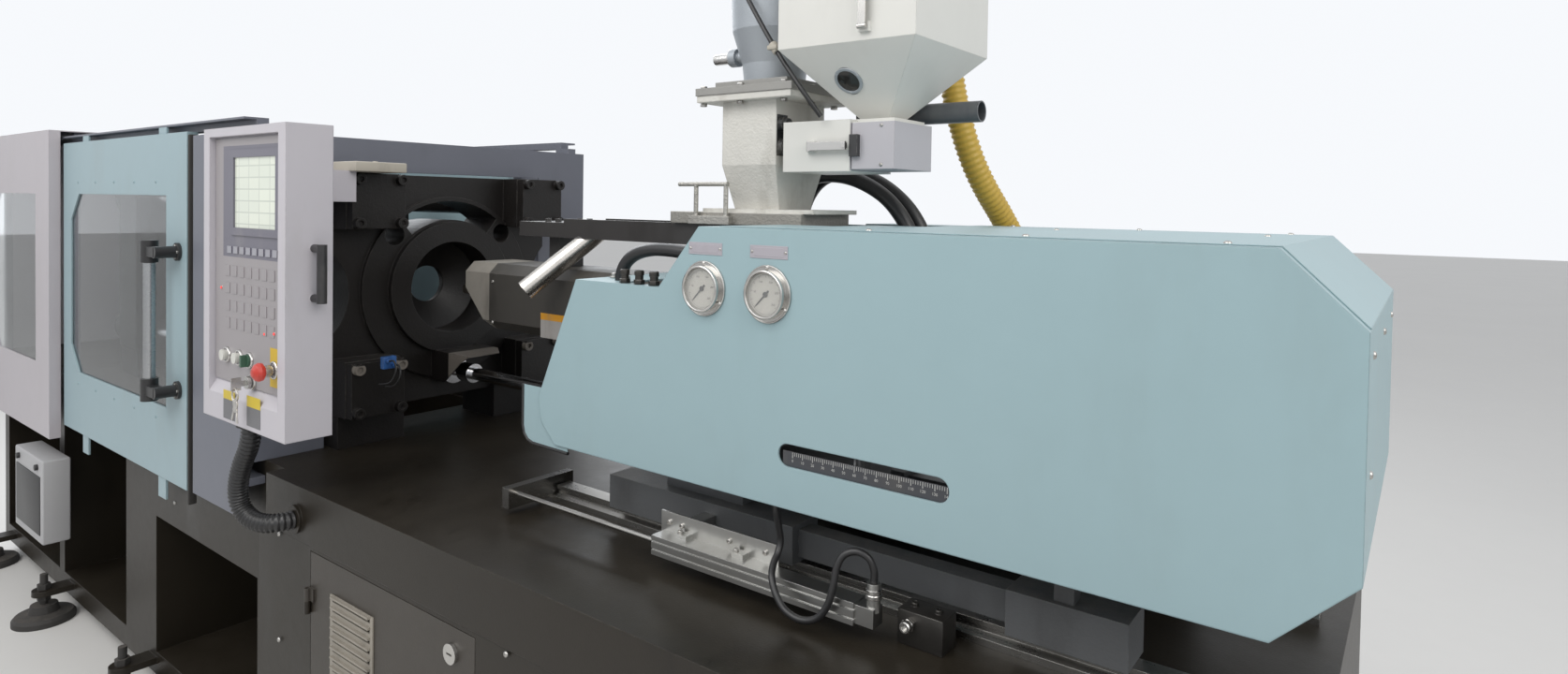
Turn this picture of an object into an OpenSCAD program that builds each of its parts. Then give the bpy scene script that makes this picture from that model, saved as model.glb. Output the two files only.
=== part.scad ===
// Toggle-clamp injection moulding machine, built in millimetres.
// +X runs along the machine toward the injection unit, +Y away from the operator, +Z up.
// Inside the modules X is measured from the stationary platen's face, Y from the
// injection axis and Z from the floor; placed() then moves the machine to its own frame.

/* [Bed] */
// Height of the bed's top above the floor
deck_z = 885; // [860:1:910]
// Half the width of the injection-side bed
bed_y = 543; // [520:1:560]
// Half the width of the clamp-side base
base_y = 500; // [480:1:515]
// Height of the frame's underside above the floor
base_z = 60; // [50:1:70]
// Thickness of the bed's steel walls
wall = 12; // [8:1:16]
// Height of the bottom longitudinal beams
beam_h = 70; // [60:1:80]
// Far end of the bed on the injection side
bed_end_x = 2190; // [2150:1:2210]
// Height of the folded lip round the injection-side deck
lip_h = 128; // [100:1:140]
// Radius of a levelling pad
pad_r = 93; // [80:1:100]

/* [Clamp] */
// Height of the injection axis
axis_z = 1308; // [1290:1:1320]
// Half the tie-bar spacing across the machine
tie_y = 268; // [260:1:275]
// Half the tie-bar spacing in height
tie_z = 254; // [245:1:262]
// Radius of a tie-bar
tie_r = 40; // [36:1:44]
// Half the width of the platens
platen_y = 346; // [342:1:352]
// Half the height of the platens
platen_z = 330; // [324:1:340]
// Thickness of the stationary platen with its corner bosses
fixed_t = 250; // [235:1:265]
// Depth of the corner bosses in front of the plate
boss_t = 100; // [80:1:110]
// Thickness of the moving platen
moving_t = 190; // [170:1:210]
// Thickness of the tail platen
tail_t = 180; // [160:1:200]
// Radius of the hub round the nozzle hole
hub_r = 195; // [185:1:205]
// Radius of the nozzle hole
hub_hole_r = 135; // [125:1:145]
// Diameter of the mould locating bore
locating_d = 125; // [100:1:150]
// Opening stroke's mould space with the clamp closed
mould_h = 300; // [200:1:340]

/* [Toggle] */
// Length of a rear link between pins
link_rear = 240; // [236:1:244]
// Length of a front link between pins
link_front = 340; // [334:1:346]
// Height of the toggle pins above and below the axis
pin_z = 285; // [280:1:290]
// Radius of the toggle pins
pin_r = 25; // [20:1:28]
// Rear link's tilt with the clamp closed
close_deg = 3; // [2:0.5:5]
// Rear link's tilt with the clamp open
open_deg = 100; // [94:1:102]
// Radius of the rear link's driven ear
ear_reach = 190; // [180:1:195]
// Angle of the driven ear from the rear link
ear_deg = 25; // [22:1:28]
// Length of a drive link
link_drive = 150; // [145:1:158]
// Height of the crosshead's pins above and below the axis
cross_pin_z = 65; // [62:1:70]
// Thickness of a link plate
link_t = 30; // [26:1:32]
// Distance of the toggle pins from the tail platen
tail_ear = 170; // [168:1:180]
// Distance of the toggle pins from the moving platen
front_ear = 100; // [95:1:110]

/* [Guards] */
// Top of the fixed guards
guard_top = 1798; // [1780:1:1820]
// Underside of the fixed guards
guard_low = 680; // [660:1:700]
// Half the width over the fixed guards
guard_y = 580; // [576:1:590]
// Inner end of the fixed guards
guard_x = -1700; // [-1720:1:-1690]
// Tail end of the machine
tail_end_x = -2700; // [-2760:1:-2660]
// Sheet thickness of guards and covers
sheet = 4; // [3:0.5:5]
// Half the width over the sliding doors
door_y = 543; // [540:1:546]
// Thickness of a sliding door
door_t = 28; // [20:1:30]
// Left edge of the doors
door_x0 = -1675; // [-1685:1:-1660]
// Right edge of the doors
door_x1 = -530; // [-540:1:-520]
// Underside of the doors
door_low = 731; // [725:1:740]
// Top of the doors
door_top = 1750; // [1740:1:1755]
// Position of the end panel's face
end_panel_x = -130; // [-150:1:-120]

/* [Operator panel] */
// Left side of the operator panel's housing
hmi_x0 = -33; // [-45:1:-20]
// Width of the housing
hmi_w = 421; // [400:1:440]
// Depth of the housing
hmi_d = 97; // [85:1:110]
// Height of the housing
hmi_h = 669; // [640:1:690]
// Underside of the housing
hmi_low = 1056; // [1040:1:1070]
// Distance of the housing's face from the axis
hmi_y = 676; // [670:1:690]
// Depth of the recess in the housing's face
recess = 16; // [12:1:20]
// Width of the screen
screen_w = 211; // [190:1:230]
// Height of the screen
screen_h = 158; // [140:1:170]

/* [Injection unit] */
// Front of the injection cover's ledge
cover_x0 = 784; // [775:1:800]
// Rear of the injection cover
cover_x1 = 2232; // [2215:1:2250]
// Half the width of the injection cover
cover_y = 343; // [335:1:350]
// Underside of the cover
cover_low = 1065; // [1055:1:1075]
// Top of the cover
cover_top = 1529; // [1526:1:1540]
// Height of the cover's front ledge
ledge_z = 1413; // [1405:1:1418]
// Chamfer at the cover's rear edges
cover_chamfer = 90; // [70:1:110]
// Radius of the barrel
barrel_r = 55; // [50:1:58]
// Radius of the screw over its flights
screw_r = 22; // [18:0.5:26]
// Pitch of the screw's flights
screw_pitch = 44; // [36:1:52]
// Half the width of the barrel cover
shroud_y = 90; // [84:1:94]
// Front of the barrel cover's dark body
shroud_x = 240; // [230:1:260]
// Distance of the injection cylinders from the axis
shot_y = 160; // [150:1:175]
// Distance of the guide rails from the axis
rail_y = 205; // [190:1:220]
// Height of the guide rails
rail_h = 38; // [30:1:44]
// Height of the carriage cylinder's rod
pull_z = 1060; // [1050:1:1070]
// Radius of the carriage cylinder's rod
pull_r = 18; // [15:1:20]
// Radius of a gauge's flange
gauge_r = 49; // [42:1:52]

/* [Feed] */
// Centre of the feed throat along the machine
throat_x = 1136; // [1130:1:1142]
// Underside of the hopper slide plate
slide_z = 1478; // [1470:1:1486]
// Thickness of the slide plate
slide_t = 38; // [30:1:40]
// Half the width of the slide plate
slide_y = 75; // [68:1:80]
// Top of the feed throat
throat_top = 1800; // [1780:1:1815]
// Centre of the dosing hopper along the machine
hopper_x = 1408; // [1400:1:1415]
// Half the width of the dosing hopper
hopper_r = 150; // [140:1:158]
// Height of the hopper's tapered part
hopper_cone = 132; // [125:1:140]
// Height of the hopper above its outlet
hopper_h = 372; // [350:1:400]
// Outlet height of the dosing hopper
hopper_out = 1738; // [1736:1:1742]

/* [Hidden] */
$fn = 48;

// Running clearance between a shaft and its bore
fit = 0.05;
// Clearance between pieces that pass each other, and between pieces that slide on each other
gap = 2;
run = 0.3;

// Toggle geometry: tilt of the front link and pin distances, open and closed
function front_tilt(a) = asin(link_rear * sin(a) / link_front);
function pin_span(a) = link_rear * cos(a) + link_front * cos(front_tilt(a));
stroke = pin_span(close_deg) - pin_span(open_deg);
function ear_at(a) = [ear_reach * cos(a + ear_deg), pin_z - ear_reach * sin(a + ear_deg)];
function cross_at(a) = ear_at(a)[0]
    + sqrt(link_drive * link_drive - pow(ear_at(a)[1] - cross_pin_z, 2));
function drive_tilt(a) = asin((ear_at(a)[1] - cross_pin_z) / link_drive);

// Stations along the clamp, at rest with the mould space open
moving_x = -fixed_t - mould_h - stroke;
moving_back = moving_x - moving_t;
front_pin_x = moving_back - front_ear;
tail_pin_x = front_pin_x - pin_span(open_deg);
tail_x = tail_pin_x - tail_ear;
tail_back = tail_x - tail_t;
cross_x = tail_pin_x + cross_at(open_deg);

// Layers of the toggle across the machine: drive link, inner cheek, eye, outer cheek
drive_y = 58;
inner_y = 90;
eye_y = inner_y + link_t + gap;
eye_t = 36;
outer_y = eye_y + eye_t + gap;
eye_r = 42;
knee_r = 38;

eject_body = 60;
eject_stroke = 90;

deck_t = 25;
split_x = -70;
foot_y = 580;
foot_xs = [-2550, -1770, -930, 100, 1100, 2050];
ear_z = 95;
ear_t = 20;
bolt_r = 12;
pad_h = 28;

chute_x0 = -902;
chute_x1 = -175;
chute_top = 563;
bay_x0 = -1850;
bay_x1 = -1174;
bay_top = 700;
panel_x0 = 205;
panel_x1 = 860;
panel_z0 = 130;
panel_z1 = 750;
vent_x0 = 305;
vent_x1 = 491;
vent_z0 = 400;
vent_z1 = 672;
track_y = door_y - door_t - 38;
lip_z = 1770;
side_y = bed_y - 4;
room_y = -138;
hinge_x = panel_x0 + 1;
hinge_y = -side_y - 7 - run;
hinge_zs = [230, 600];
lock_x = 785;
lock_z = 692;
lock_r = 14;

retainer_t = 30;
retainer_r = 76;
bolt_d = 118;
waist_y = 300;
fixed_foot_z = 95;

hmi_x1 = hmi_x0 + hmi_w;
hmi_back = hmi_y - hmi_d;
hmi_top = hmi_low + hmi_h;
face_x0 = hmi_x0 + 33;
face_x1 = hmi_x1 - 35;
face_z0 = hmi_low + 86;
face_z1 = hmi_top - 20;
face_y = hmi_y - recess;
screen_x = 215;
screen_z = hmi_top - 147;
button_z = hmi_low + 150;
keys_z = hmi_low + 212;
key_pitch = (screen_z - 150 - keys_z) / 4;
estop_x = 315;
estop_out = 44;
controls = [[71, button_z], [137, button_z], [190, button_z], [205, button_z - 46], [estop_x, button_z - 6]];

seat_x0 = 1040;
seat_x1 = 1240;
seat_y = 215;
barrel_end = seat_x1 + 95;
thrust_x = 1560;
thrust_t = 60;
nozzle_x = -10;
motor_l = 180;
gauge_xs = [1249, 1392];
gauge_z = 1419;
slot_x0 = 1419;
slot_x1 = 1731;
slot_z = 1155;
slot_r = 19;
slide_x0 = 350;
slide_x1 = 1300;
slide_top = slide_z + slide_t;
hopper_knee = hopper_out + hopper_cone;
hopper_top = hopper_out + hopper_h;
spigot_z = hopper_top - 125;
throat_z = slide_top + 44;
rail_x0 = 700;
rail_x1 = 2150;
probe_y = 348;
probe_x0 = 1129;
probe_x1 = 1574;
probe_z = 913;
probe_s = 36;

// The machine's own frame: origin at the middle of its base
mid_x = (tail_end_x + cover_x1) / 2;
mid_y = (foot_y + pad_r - (face_y + estop_out + 7)) / 2;

// Routes of the hoses and cables, as points along their centre lines
hmi_hose_path = [[105, -628, 1039.7], [105, -628, 1015], [95, -630, 983], [76, -633, 950],
    [58, -634, 912], [46, -632, 875], [46, -628, 845], [62, -622, 822], [88, -614, 810],
    [114, -602, 806], [132, -586, 806], [140, -568, 806], [140, -551, 806]];
feed_hose_path = [[hopper_x, 172.3, spigot_z], [hopper_x, 196, spigot_z], [hopper_x + 1, 218, spigot_z - 3],
    [hopper_x + 4, 240, spigot_z - 16], [hopper_x + 8, 254, spigot_z - 40], [hopper_x + 12, 262, spigot_z - 80],
    [1425, 267, 1850], [1436, 272, 1790], [1450, 284, 1725],
    [1464, 306, 1665], [1478, 342, 1610], [1490, 392, 1558], [1500, 448, 1500], [1510, 502, 1430],
    [1520, 548, 1345], [1530, 586, 1250], [1540, 614, 1145], [1548, 634, 1035], [1556, 648, 920],
    [1564, 656, 800], [1570, 661, 680], [1575, 664, 560], [1578, 668, 440], [1580, 676, 330],
    [1580, 692, 235], [1578, 716, 160], [1572, 748, 100], [1560, 785, 60], [1540, 828, 38],
    [1510, 870, 30], [1465, 908, 30], [1410, 935, 30], [1350, 950, 30], [1290, 955, 30],
    [1230, 950, 30]];
probe_cable_path = [[1408, -332, 1092], [1408, -332, 1058], [1408, -324, 1025], [1408, -318, 998],
    [1409, -326, 980], [1413, -343, 968], [1424, -362, 955], [1440, -372, 935], [1462, -376, 916],
    [1492, -374, 908], [1522, -368, 918], [1544, -360, 942], [1560, -352, 970], [1569, -346, 990],
    [1579, -339, 1003], [1590, -333, 1006], [1598, -330, 1001], [1600, -330, 992], [1600, -330, 983.3]];
oil_hose_a = [[1066, 150, 1395.3], [1066, 150, 1430], [1066, 150, 1480], [1072, 150, 1530],
    [1086, 150, 1575], [1110, 150, 1612], [1145, 150, 1634], [1190, 150, 1639], [1240, 150, 1632],
    [1290, 150, 1613], [1335, 150, 1585], [1370, 150, 1548], [1395, 150, 1505], [1411, 150, 1455],
    [1420, 150, 1408], [1420, 150, 1374.3]];
oil_hose_b = [[1062, 197, 1395.3], [1062, 197, 1430], [1062, 197, 1480], [1070, 197, 1535],
    [1088, 197, 1585], [1118, 197, 1622], [1160, 197, 1642], [1210, 197, 1643], [1262, 197, 1631],
    [1310, 197, 1608], [1352, 197, 1575], [1384, 197, 1535], [1405, 197, 1490], [1416, 197, 1445],
    [1420, 197, 1405], [1420, 197, 1374.3]];
ledge_hose = [[1160, -290, 1476], [1115, -290, 1479], [1065, -290, 1478], [1020, -290, 1468],
    [990, -290, 1448], [978, -290, 1422], [978, -290, 1395]];

// Draws its children in the machine's frame, in one colour
module placed(c) translate([-mid_x, -mid_y, 0]) color(c) children();

module box(x0, x1, y0, y1, z0, z1) translate([x0, y0, z0]) cube([x1 - x0, y1 - y0, z1 - z0]);

module rod_x(x0, x1, y, z, r) translate([x0, y, z]) rotate([0, 90, 0]) cylinder(h = x1 - x0, r = r);

module rod_y(x, y0, y1, z, r) translate([x, y1, z]) rotate([90, 0, 0]) cylinder(h = y1 - y0, r = r);

module rod_z(x, y, z0, z1, r) translate([x, y, z0]) cylinder(h = z1 - z0, r = r);

// Extrudes a profile drawn in X and Z across Y
module across(y0, y1) translate([0, y1, 0]) rotate([90, 0, 0]) linear_extrude(y1 - y0) children();

// Extrudes a profile drawn in Y and Z along X
module along(x0, x1) translate([x0, 0, 0]) rotate([90, 0, 90]) linear_extrude(x1 - x0) children();

module both_sides() {
    children();
    mirror([0, 1, 0]) children();
}

module at_tie_bars() for (y = [-tie_y, tie_y], z = [-tie_z, tie_z]) translate([0, y, axis_z + z]) children();

// A tube swept along a list of points, with rings square to the route
function unit(v) = v / norm(v);
function heading(p, i) = unit(p[min(i + 1, len(p) - 1)] - p[max(i - 1, 0)]);
function square_to(u, d) = unit(u - (u * d) * d);
function side_at(p, i) = let (d = heading(p, i))
    i == 0 ? square_to(abs(d[2]) > 0.8 ? [1, 0, 0] : [0, 0, 1], d) : square_to(side_at(p, i - 1), d);
module tube_along(p, r, sides = 8) {
    n = len(p);
    rings = [for (i = [0 : n - 1]) let (u = side_at(p, i), w = cross(heading(p, i), u))
        for (k = [0 : sides - 1]) p[i] + r * (cos(360 * k / sides) * u + sin(360 * k / sides) * w)];
    walls = [for (i = [0 : n - 2], k = [0 : sides - 1], half = [0, 1])
        let (a = i * sides + k, b = i * sides + (k + 1) % sides)
        half == 0 ? [a, b, b + sides] : [a, b + sides, a + sides]];
    ends = [[for (k = [sides - 1 : -1 : 0]) k], [for (k = [0 : sides - 1]) (n - 1) * sides + k]];
    polyhedron(rings, concat(walls, ends));
}

// A flat bar with round ends from [0, 0] to [length, 0] in X and Z
module bar_outline(length, r0, r1) hull() {
    circle(r0, $fn = 32);
    translate([length, 0]) circle(r1, $fn = 32);
}

module link_bar(length, r0, r1, y0, y1) across(y0, y1) bar_outline(length, r0, r1);

// The bed: clamp-side base with its bays and chute, injection-side box and deck
module bed_frame() placed("#2e2723") {
    difference() {
        union() {
            box(tail_end_x, split_x, -base_y, base_y, base_z, deck_z);
            box(split_x, bed_end_x, -side_y, side_y, base_z, deck_z - lip_h);
            box(-20, bed_end_x, -bed_y, bed_y, deck_z - lip_h, deck_z);
            box(split_x, 0, -base_y, base_y, deck_z - lip_h - 1, deck_z);
        }
        // tail bay, toggle bay and chute, open at front and rear
        box(tail_end_x + 60, bay_x0 - 60, -base_y - 1, base_y + 1, base_z + beam_h, bay_top);
        box(bay_x0, bay_x1, -base_y - 1, base_y + 1, base_z + beam_h, bay_top);
        box(chute_x0, chute_x1, -base_y - 1, base_y + 1, base_z + beam_h, chute_top);
        // mould space down to the chute
        box(chute_x0 + 20, chute_x1 - 120, -240, 240, chute_top - 1, deck_z + 1);
        // hollows of the base above the bays
        box(tail_end_x + 60, bay_x1 - 20, wall - base_y, base_y - wall, bay_top + wall, deck_z - deck_t);
        // control cabinet behind its door
        box(panel_x0, panel_x1, -bed_y - 1, room_y - wall, panel_z0, panel_z1 - 5);
        // ways down from that hollow into the bays
        for (x = [-2560, -2060, -1620]) box(x, x + 200, -200, 200, bay_top - 1, bay_top + wall + 1);
        // power pack's room, aired through slots at the rear, and its front part
        box(split_x + wall, bed_end_x - wall, room_y, side_y - wall, base_z + wall, deck_z - deck_t);
        box(panel_x1 + wall, bed_end_x - wall, wall - side_y, room_y - wall, base_z + wall, deck_z - deck_t);
        box(1200, 1500, room_y - wall - 1, room_y + 1, 200, 500);
        for (x = [1080 : 48 : 1900]) box(x, x + 16, bed_y - wall - 6, bed_y + 1, 300, 520);
        // panel joints
        for (x = [1110, 1650]) box(x, x + 3, -bed_y, 7 - bed_y, base_z + 40, deck_z - lip_h);
        box(split_x - 1, split_x + 2, -bed_y, 7 - bed_y, base_z + 40, deck_z - lip_h);
    }
    // lower knuckles and pins of the cabinet door's hinges
    for (z = hinge_zs) {
        rod_z(hinge_x, hinge_y, z, z + 30, 7);
        rod_z(hinge_x, hinge_y, z + 29, z + 58, 4);
        box(hinge_x - 20, hinge_x - 3, hinge_y + 2, 1 - side_y, z, z + 30);
    }
    // flange where the operator panel's hose enters
    rod_y(140, -551, -bed_y, 806, 34);
    // low rails that the moving platen's shoes run on
    both_sides() box(tail_x, -fixed_t - 10, 255, 335, deck_z, deck_z + 30);
    foot_ears();
}

// Ears on the frame's sides for the levelling bolts
module foot_ears() for (x = foot_xs, s = [-1, 1]) {
    side = x < split_x ? base_y : side_y;
    difference() {
        union() {
            hull() {
                rod_z(x, s * foot_y, ear_z, ear_z + ear_t, 36);
                translate([x - 36, s * (side - 1) - 1, ear_z]) cube([72, 2, ear_t]);
            }
        }
        rod_z(x, s * foot_y, ear_z - 1, ear_z + ear_t + 1, bolt_r + 1);
    }
}

// Pads with their bolts and nuts, which carry the machine
module levelling_pads() placed("#1c1c1c") for (x = foot_xs, s = [-1, 1]) translate([x, s * foot_y, 0]) {
    rotate_extrude() polygon([[0, 0], [pad_r, 0], [pad_r, pad_h - 10], [pad_r - 8, pad_h],
        [46, pad_h + 6], [40, ear_z - 34], [0, ear_z - 34]]);
    cylinder(h = ear_z + ear_t + 56, r = bolt_r);
    translate([0, 0, ear_z - 20]) cylinder(h = 20, r = 21, $fn = 6);
    translate([0, 0, ear_z + ear_t]) cylinder(h = 20, r = 21, $fn = 6);
}

// Cabinet door with its louvred vent
module cabinet_door() placed("#3a3029") {
    slats = 12;
    step = (vent_z1 - vent_z0) / slats;
    difference() {
        union() {
            box(panel_x0 + gap, panel_x1 - gap, -side_y, 14 - side_y, panel_z0 + gap, panel_z1 - 5 - gap);
            box(vent_x0, vent_x1, -side_y - 3, -side_y, vent_z0, vent_z1);
        }
        for (i = [0 : slats - 1])
            box(vent_x0 + 12, vent_x1 - 12, -side_y - 4, 15 - side_y, vent_z0 + step * (i + 0.35), vent_z0 + step * (i + 0.75));
        rod_y(lock_x, -side_y - 1, 15 - side_y, lock_z, lock_r + fit);
    }
    for (i = [0 : slats - 1])
        box(vent_x0 + 10, vent_x1 - 10, -side_y - 9, -side_y - 3, vent_z0 + step * (i + 0.75), vent_z0 + step * (i + 0.95));
    // upper knuckles of the hinges
    for (z = hinge_zs) difference() {
        union() {
            rod_z(hinge_x, hinge_y, z + 30 + run, z + 60, 7);
            box(hinge_x + 3, hinge_x + 22, hinge_y + 2, -side_y, z + 30 + run, z + 60);
        }
        rod_z(hinge_x, hinge_y, z + 29, z + 61, 4 + fit);
    }
}

// Round quarter-turn lock of the cabinet door
module cabinet_lock() placed("#8a8d90") difference() {
    union() {
        rod_y(lock_x, -side_y, 20 - side_y, lock_z, lock_r);
        rod_y(lock_x, -side_y - 8, -side_y - 0.3, lock_z, lock_r + 6);
    }
    box(lock_x - 9, lock_x + 9, -side_y - 9, -side_y - 3, lock_z - 2, lock_z + 2);
}

// Rounded rectangle centred on the axis, in Y and Z
module plate_outline(y, z, r) translate([0, axis_z]) hull()
    for (a = [-1, 1], b = [-1, 1]) translate([a * (y - r), b * (z - r)]) circle(r, $fn = 32);

// The platens' shared outline, waisted between the corners
module waisted_outline() difference() {
    plate_outline(platen_y, platen_z, 18);
    for (s = [-1, 1]) translate([s * (platen_y + 110), axis_z]) circle(110 + platen_y - waist_y);
}

// Sector between two radii over a stretch of angle, in Y and Z about the axis
module ring_sector(r0, r1, a0, a1) {
    steps = 16;
    polygon(concat([for (i = [0 : steps]) let (a = a0 + (a1 - a0) * i / steps) r1 * [cos(a), sin(a)]],
        [for (i = [steps : -1 : 0]) let (a = a0 + (a1 - a0) * i / steps) r0 * [cos(a), sin(a)]]));
}

// Stationary platen: plate, corner bosses with their retaining plates, hub and feet
module stationary_platen() placed("#1d1b1a") difference() {
    plate_x = -boss_t;
    hub_x = plate_x + 30;
    union() {
        along(-fixed_t, plate_x) waisted_outline();
        // raised round face behind the hub
        rod_x(plate_x - 1, plate_x + 12, 0, axis_z, hub_r + 75);
        rod_x(-fixed_t + 1, hub_x, 0, axis_z, hub_r);
        at_tie_bars() {
            translate([plate_x - 1, -retainer_r, -retainer_r])
                cube([boss_t - retainer_t + 1, 2 * retainer_r, 2 * retainer_r]);
            translate([-retainer_t, 2 - retainer_r, 2 - retainer_r])
                cube([retainer_t, 2 * retainer_r - 4, 2 * retainer_r - 4]);
            for (a = [-1, 1], b = [-1, 1]) rod_x(-1, 18, a * bolt_d / 2, b * bolt_d / 2, 15);
        }
        both_sides() box(-fixed_t, plate_x + 20, 150, platen_y - 6, deck_z, axis_z - platen_z + 20);
        spill_bracket();
    }
    // nozzle hole, its cone and the mould locating bore
    rod_x(-fixed_t + 80, hub_x + 1, 0, axis_z, hub_hole_r);
    translate([-fixed_t + 30, 0, axis_z]) rotate([0, 90, 0])
        cylinder(h = 50.1, r1 = locating_d / 2 - 8, r2 = hub_hole_r);
    rod_x(-fixed_t - 1, -fixed_t + 30.1, 0, axis_z, locating_d / 2);
    // core window above the hub and the two round core holes beside it
    along(-fixed_t - 1, plate_x + 20) translate([0, axis_z]) ring_sector(hub_r + 6, hub_r + 62, 52, 128);
    for (s = [-1, 1]) rod_x(-fixed_t - 1, plate_x + 20, s * 176, axis_z + 158, 29);
    rod_x(-boss_t, -boss_t + 20, 0, pull_z, 42 + run);
    at_tie_bars() {
        rod_x(-fixed_t - 1, -retainer_t - 20, 0, 0, tie_r + fit);
        for (a = [-1, 1], b = [-1, 1]) translate([12, a * bolt_d / 2, b * bolt_d / 2]) rotate([0, 90, 0])
            cylinder(h = 7, r = 8, $fn = 6);
    }
    for (a = [-1, 1], b = [-1, 1]) mould_hole(-fixed_t, 1, a * 140, b * 140);
}

// Threaded hole for clamping a mould, bored from a platen's face
module mould_hole(x, dir, y, z) translate([dir > 0 ? x - 1 : x - 40, 0, 0]) rod_x(0, 41, y, axis_z + z, 8);

// Sheet trough below the hub that throws purged material clear of the rod
module spill_bracket() {
    top = 1120;
    translate([0, 0, top]) linear_extrude(3)
        polygon([[-boss_t - 1, -60], [100, -60], [95, 45], [20, 92], [-boss_t - 1, 92]]);
    across(-60, -57) polygon([[-boss_t - 1, top + 1], [100, top + 1], [60, top - 20],
        [-20, top - 85], [-boss_t - 1, top - 85]]);
}

module tie_bars() placed("#c8cbcd") at_tie_bars() {
    rod_x(tail_back - 90, -retainer_t - 22, 0, 0, tie_r);
}

// Tail platen with its toggle ears, pins, crosshead rods and tie-bar nuts
module tail_platen() placed("#22201f") {
    difference() {
        union() {
            along(tail_back, tail_x) plate_outline(platen_y, platen_z, 18);
            for (s = [-1, 1]) translate([tail_pin_x, 0, axis_z + s * pin_z]) pin_ear(-tail_ear);
            both_sides() box(tail_back, tail_x, 225, platen_y - 6, deck_z, axis_z - platen_z + 20);
            at_tie_bars() rod_x(tail_back - 70, tail_back, 0, 0, tie_r + 34);
        }
        at_tie_bars() rod_x(tail_back - 71, tail_x + 1, 0, 0, tie_r + fit);
        rod_x(tail_back - 1, tail_x + 1, 0, axis_z, 34);
    }
    for (s = [-1, 1]) {
        rod_y(tail_pin_x, inner_y, outer_y + link_t, axis_z + s * pin_z, pin_r);
        rod_y(tail_pin_x, -outer_y - link_t, -inner_y, axis_z + s * pin_z, pin_r);
        rod_x(tail_x - 30, tail_pin_x + cross_at(close_deg) + 55, s * 62, axis_z, 16);
    }
}

// Outline of an ear from a platen's face, reach away, round a toggle pin at the origin
module ear_outline(reach) {
    circle(eye_r);
    translate([min(reach - 1, 0), 1 - eye_r]) square([abs(reach) + 1, 2 * eye_r - 2]);
}

// Pair of ear plates between a platen face and a toggle pin
module pin_ear(reach) both_sides() across(eye_y, eye_y + eye_t) ear_outline(reach);

// Clamp cylinder on the tail platen's back
module clamp_cylinder() placed("#27292b") difference() {
    union() {
        rod_x(tail_back - 500, tail_back - 30, 0, axis_z, 92);
        rod_x(tail_back - 30, tail_back, 0, axis_z, 125);
        rod_x(tail_back - 540, tail_back - 500, 0, axis_z, 110);
        for (x = [tail_back - 60, tail_back - 470]) rod_z(x, 0, axis_z, axis_z + 112, 22);
    }
    rod_x(tail_back - 40, tail_back + 1, 0, axis_z, 30 + fit);
    rod_x(tail_back - 500, tail_back - 40, 0, axis_z, 70);
}

// Moving platen with its toggle ears, pins, shoes and ejector cylinders
module moving_platen() placed("#1f1d1c") {
    difference() {
        union() {
            along(moving_back, moving_x) waisted_outline();
            for (s = [-1, 1]) translate([front_pin_x, 0, axis_z + s * pin_z]) cheek_ear(front_ear);
            both_sides() box(moving_back, moving_x, 262, 328, deck_z + 30.3, axis_z - platen_z + 20);
            for (s = [-1, 1]) rod_x(moving_back - eject_body, moving_back, 0, axis_z + s * 150, 30);
        }
        at_tie_bars() rod_x(moving_back - 1, moving_x + 1, 0, 0, tie_r + fit);
        rod_x(moving_back - 1, moving_x + 1, 0, axis_z, 20);
        for (s = [-1, 1]) {
            rod_x(moving_back - eject_body - 1, moving_back + 120, 0, axis_z + s * 150, 11 + fit);
            rod_x(moving_back - 1, moving_x + 1, 0, axis_z + s * 70, 14);
        }
        for (a = [-1, 1], b = [-1, 1]) mould_hole(moving_x, -1, a * 140, b * 105);
        // lightening pockets between the ribs of the back
        for (a = [-1, 1]) box(moving_back - 1, moving_back + 70, a * 262 - 30, a * 262 + 30, axis_z - 120, axis_z + 120);
    }
    for (s = [-1, 1]) {
        rod_y(front_pin_x, inner_y, outer_y + link_t, axis_z + s * pin_z, pin_r);
        rod_y(front_pin_x, -outer_y - link_t, -inner_y, axis_z + s * pin_z, pin_r);
    }
}

// Cheeks either side of the front link's eye
module cheek_ear(reach) both_sides() for (y = [inner_y, outer_y]) across(y, y + link_t) ear_outline(reach);

// Ejector plate with its centre rod, side rods and piston rods
module ejector_plate() placed("#8f9294") {
    back = moving_back - eject_body - eject_stroke - 26;
    box(back, back + 24, -38, 38, axis_z - 182, axis_z + 182);
    rod_x(back + 23, moving_x - 20, 0, axis_z, 16);
    for (s = [-1, 1]) {
        rod_x(back + 23, moving_x - 20, 0, axis_z + s * 70, 10);
        rod_x(back + 23, moving_back - 20, 0, axis_z + s * 150, 11);
    }
}

// Crosshead with its drive pins and the clamp cylinder's piston rod
module crosshead() placed("#34373a") {
    difference() {
        union() {
            box(cross_x - 48, cross_x + 48, -82, 82, axis_z - 30, axis_z + 30);
            box(cross_x - 30, cross_x + 30, -50, 50, axis_z - 96, axis_z + 96);
        }
        for (s = [-1, 1]) rod_x(cross_x - 49, cross_x + 49, s * 62, axis_z, 16 + fit);
    }
    for (s = [-1, 1]) rod_y(cross_x, 7 - inner_y, inner_y - 7, axis_z + s * cross_pin_z, 14);
    rod_x(tail_back - 290, cross_x - 47, 0, axis_z, 30);
    rod_x(tail_back - 330, tail_back - 290, 0, axis_z, 69);
}

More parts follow.
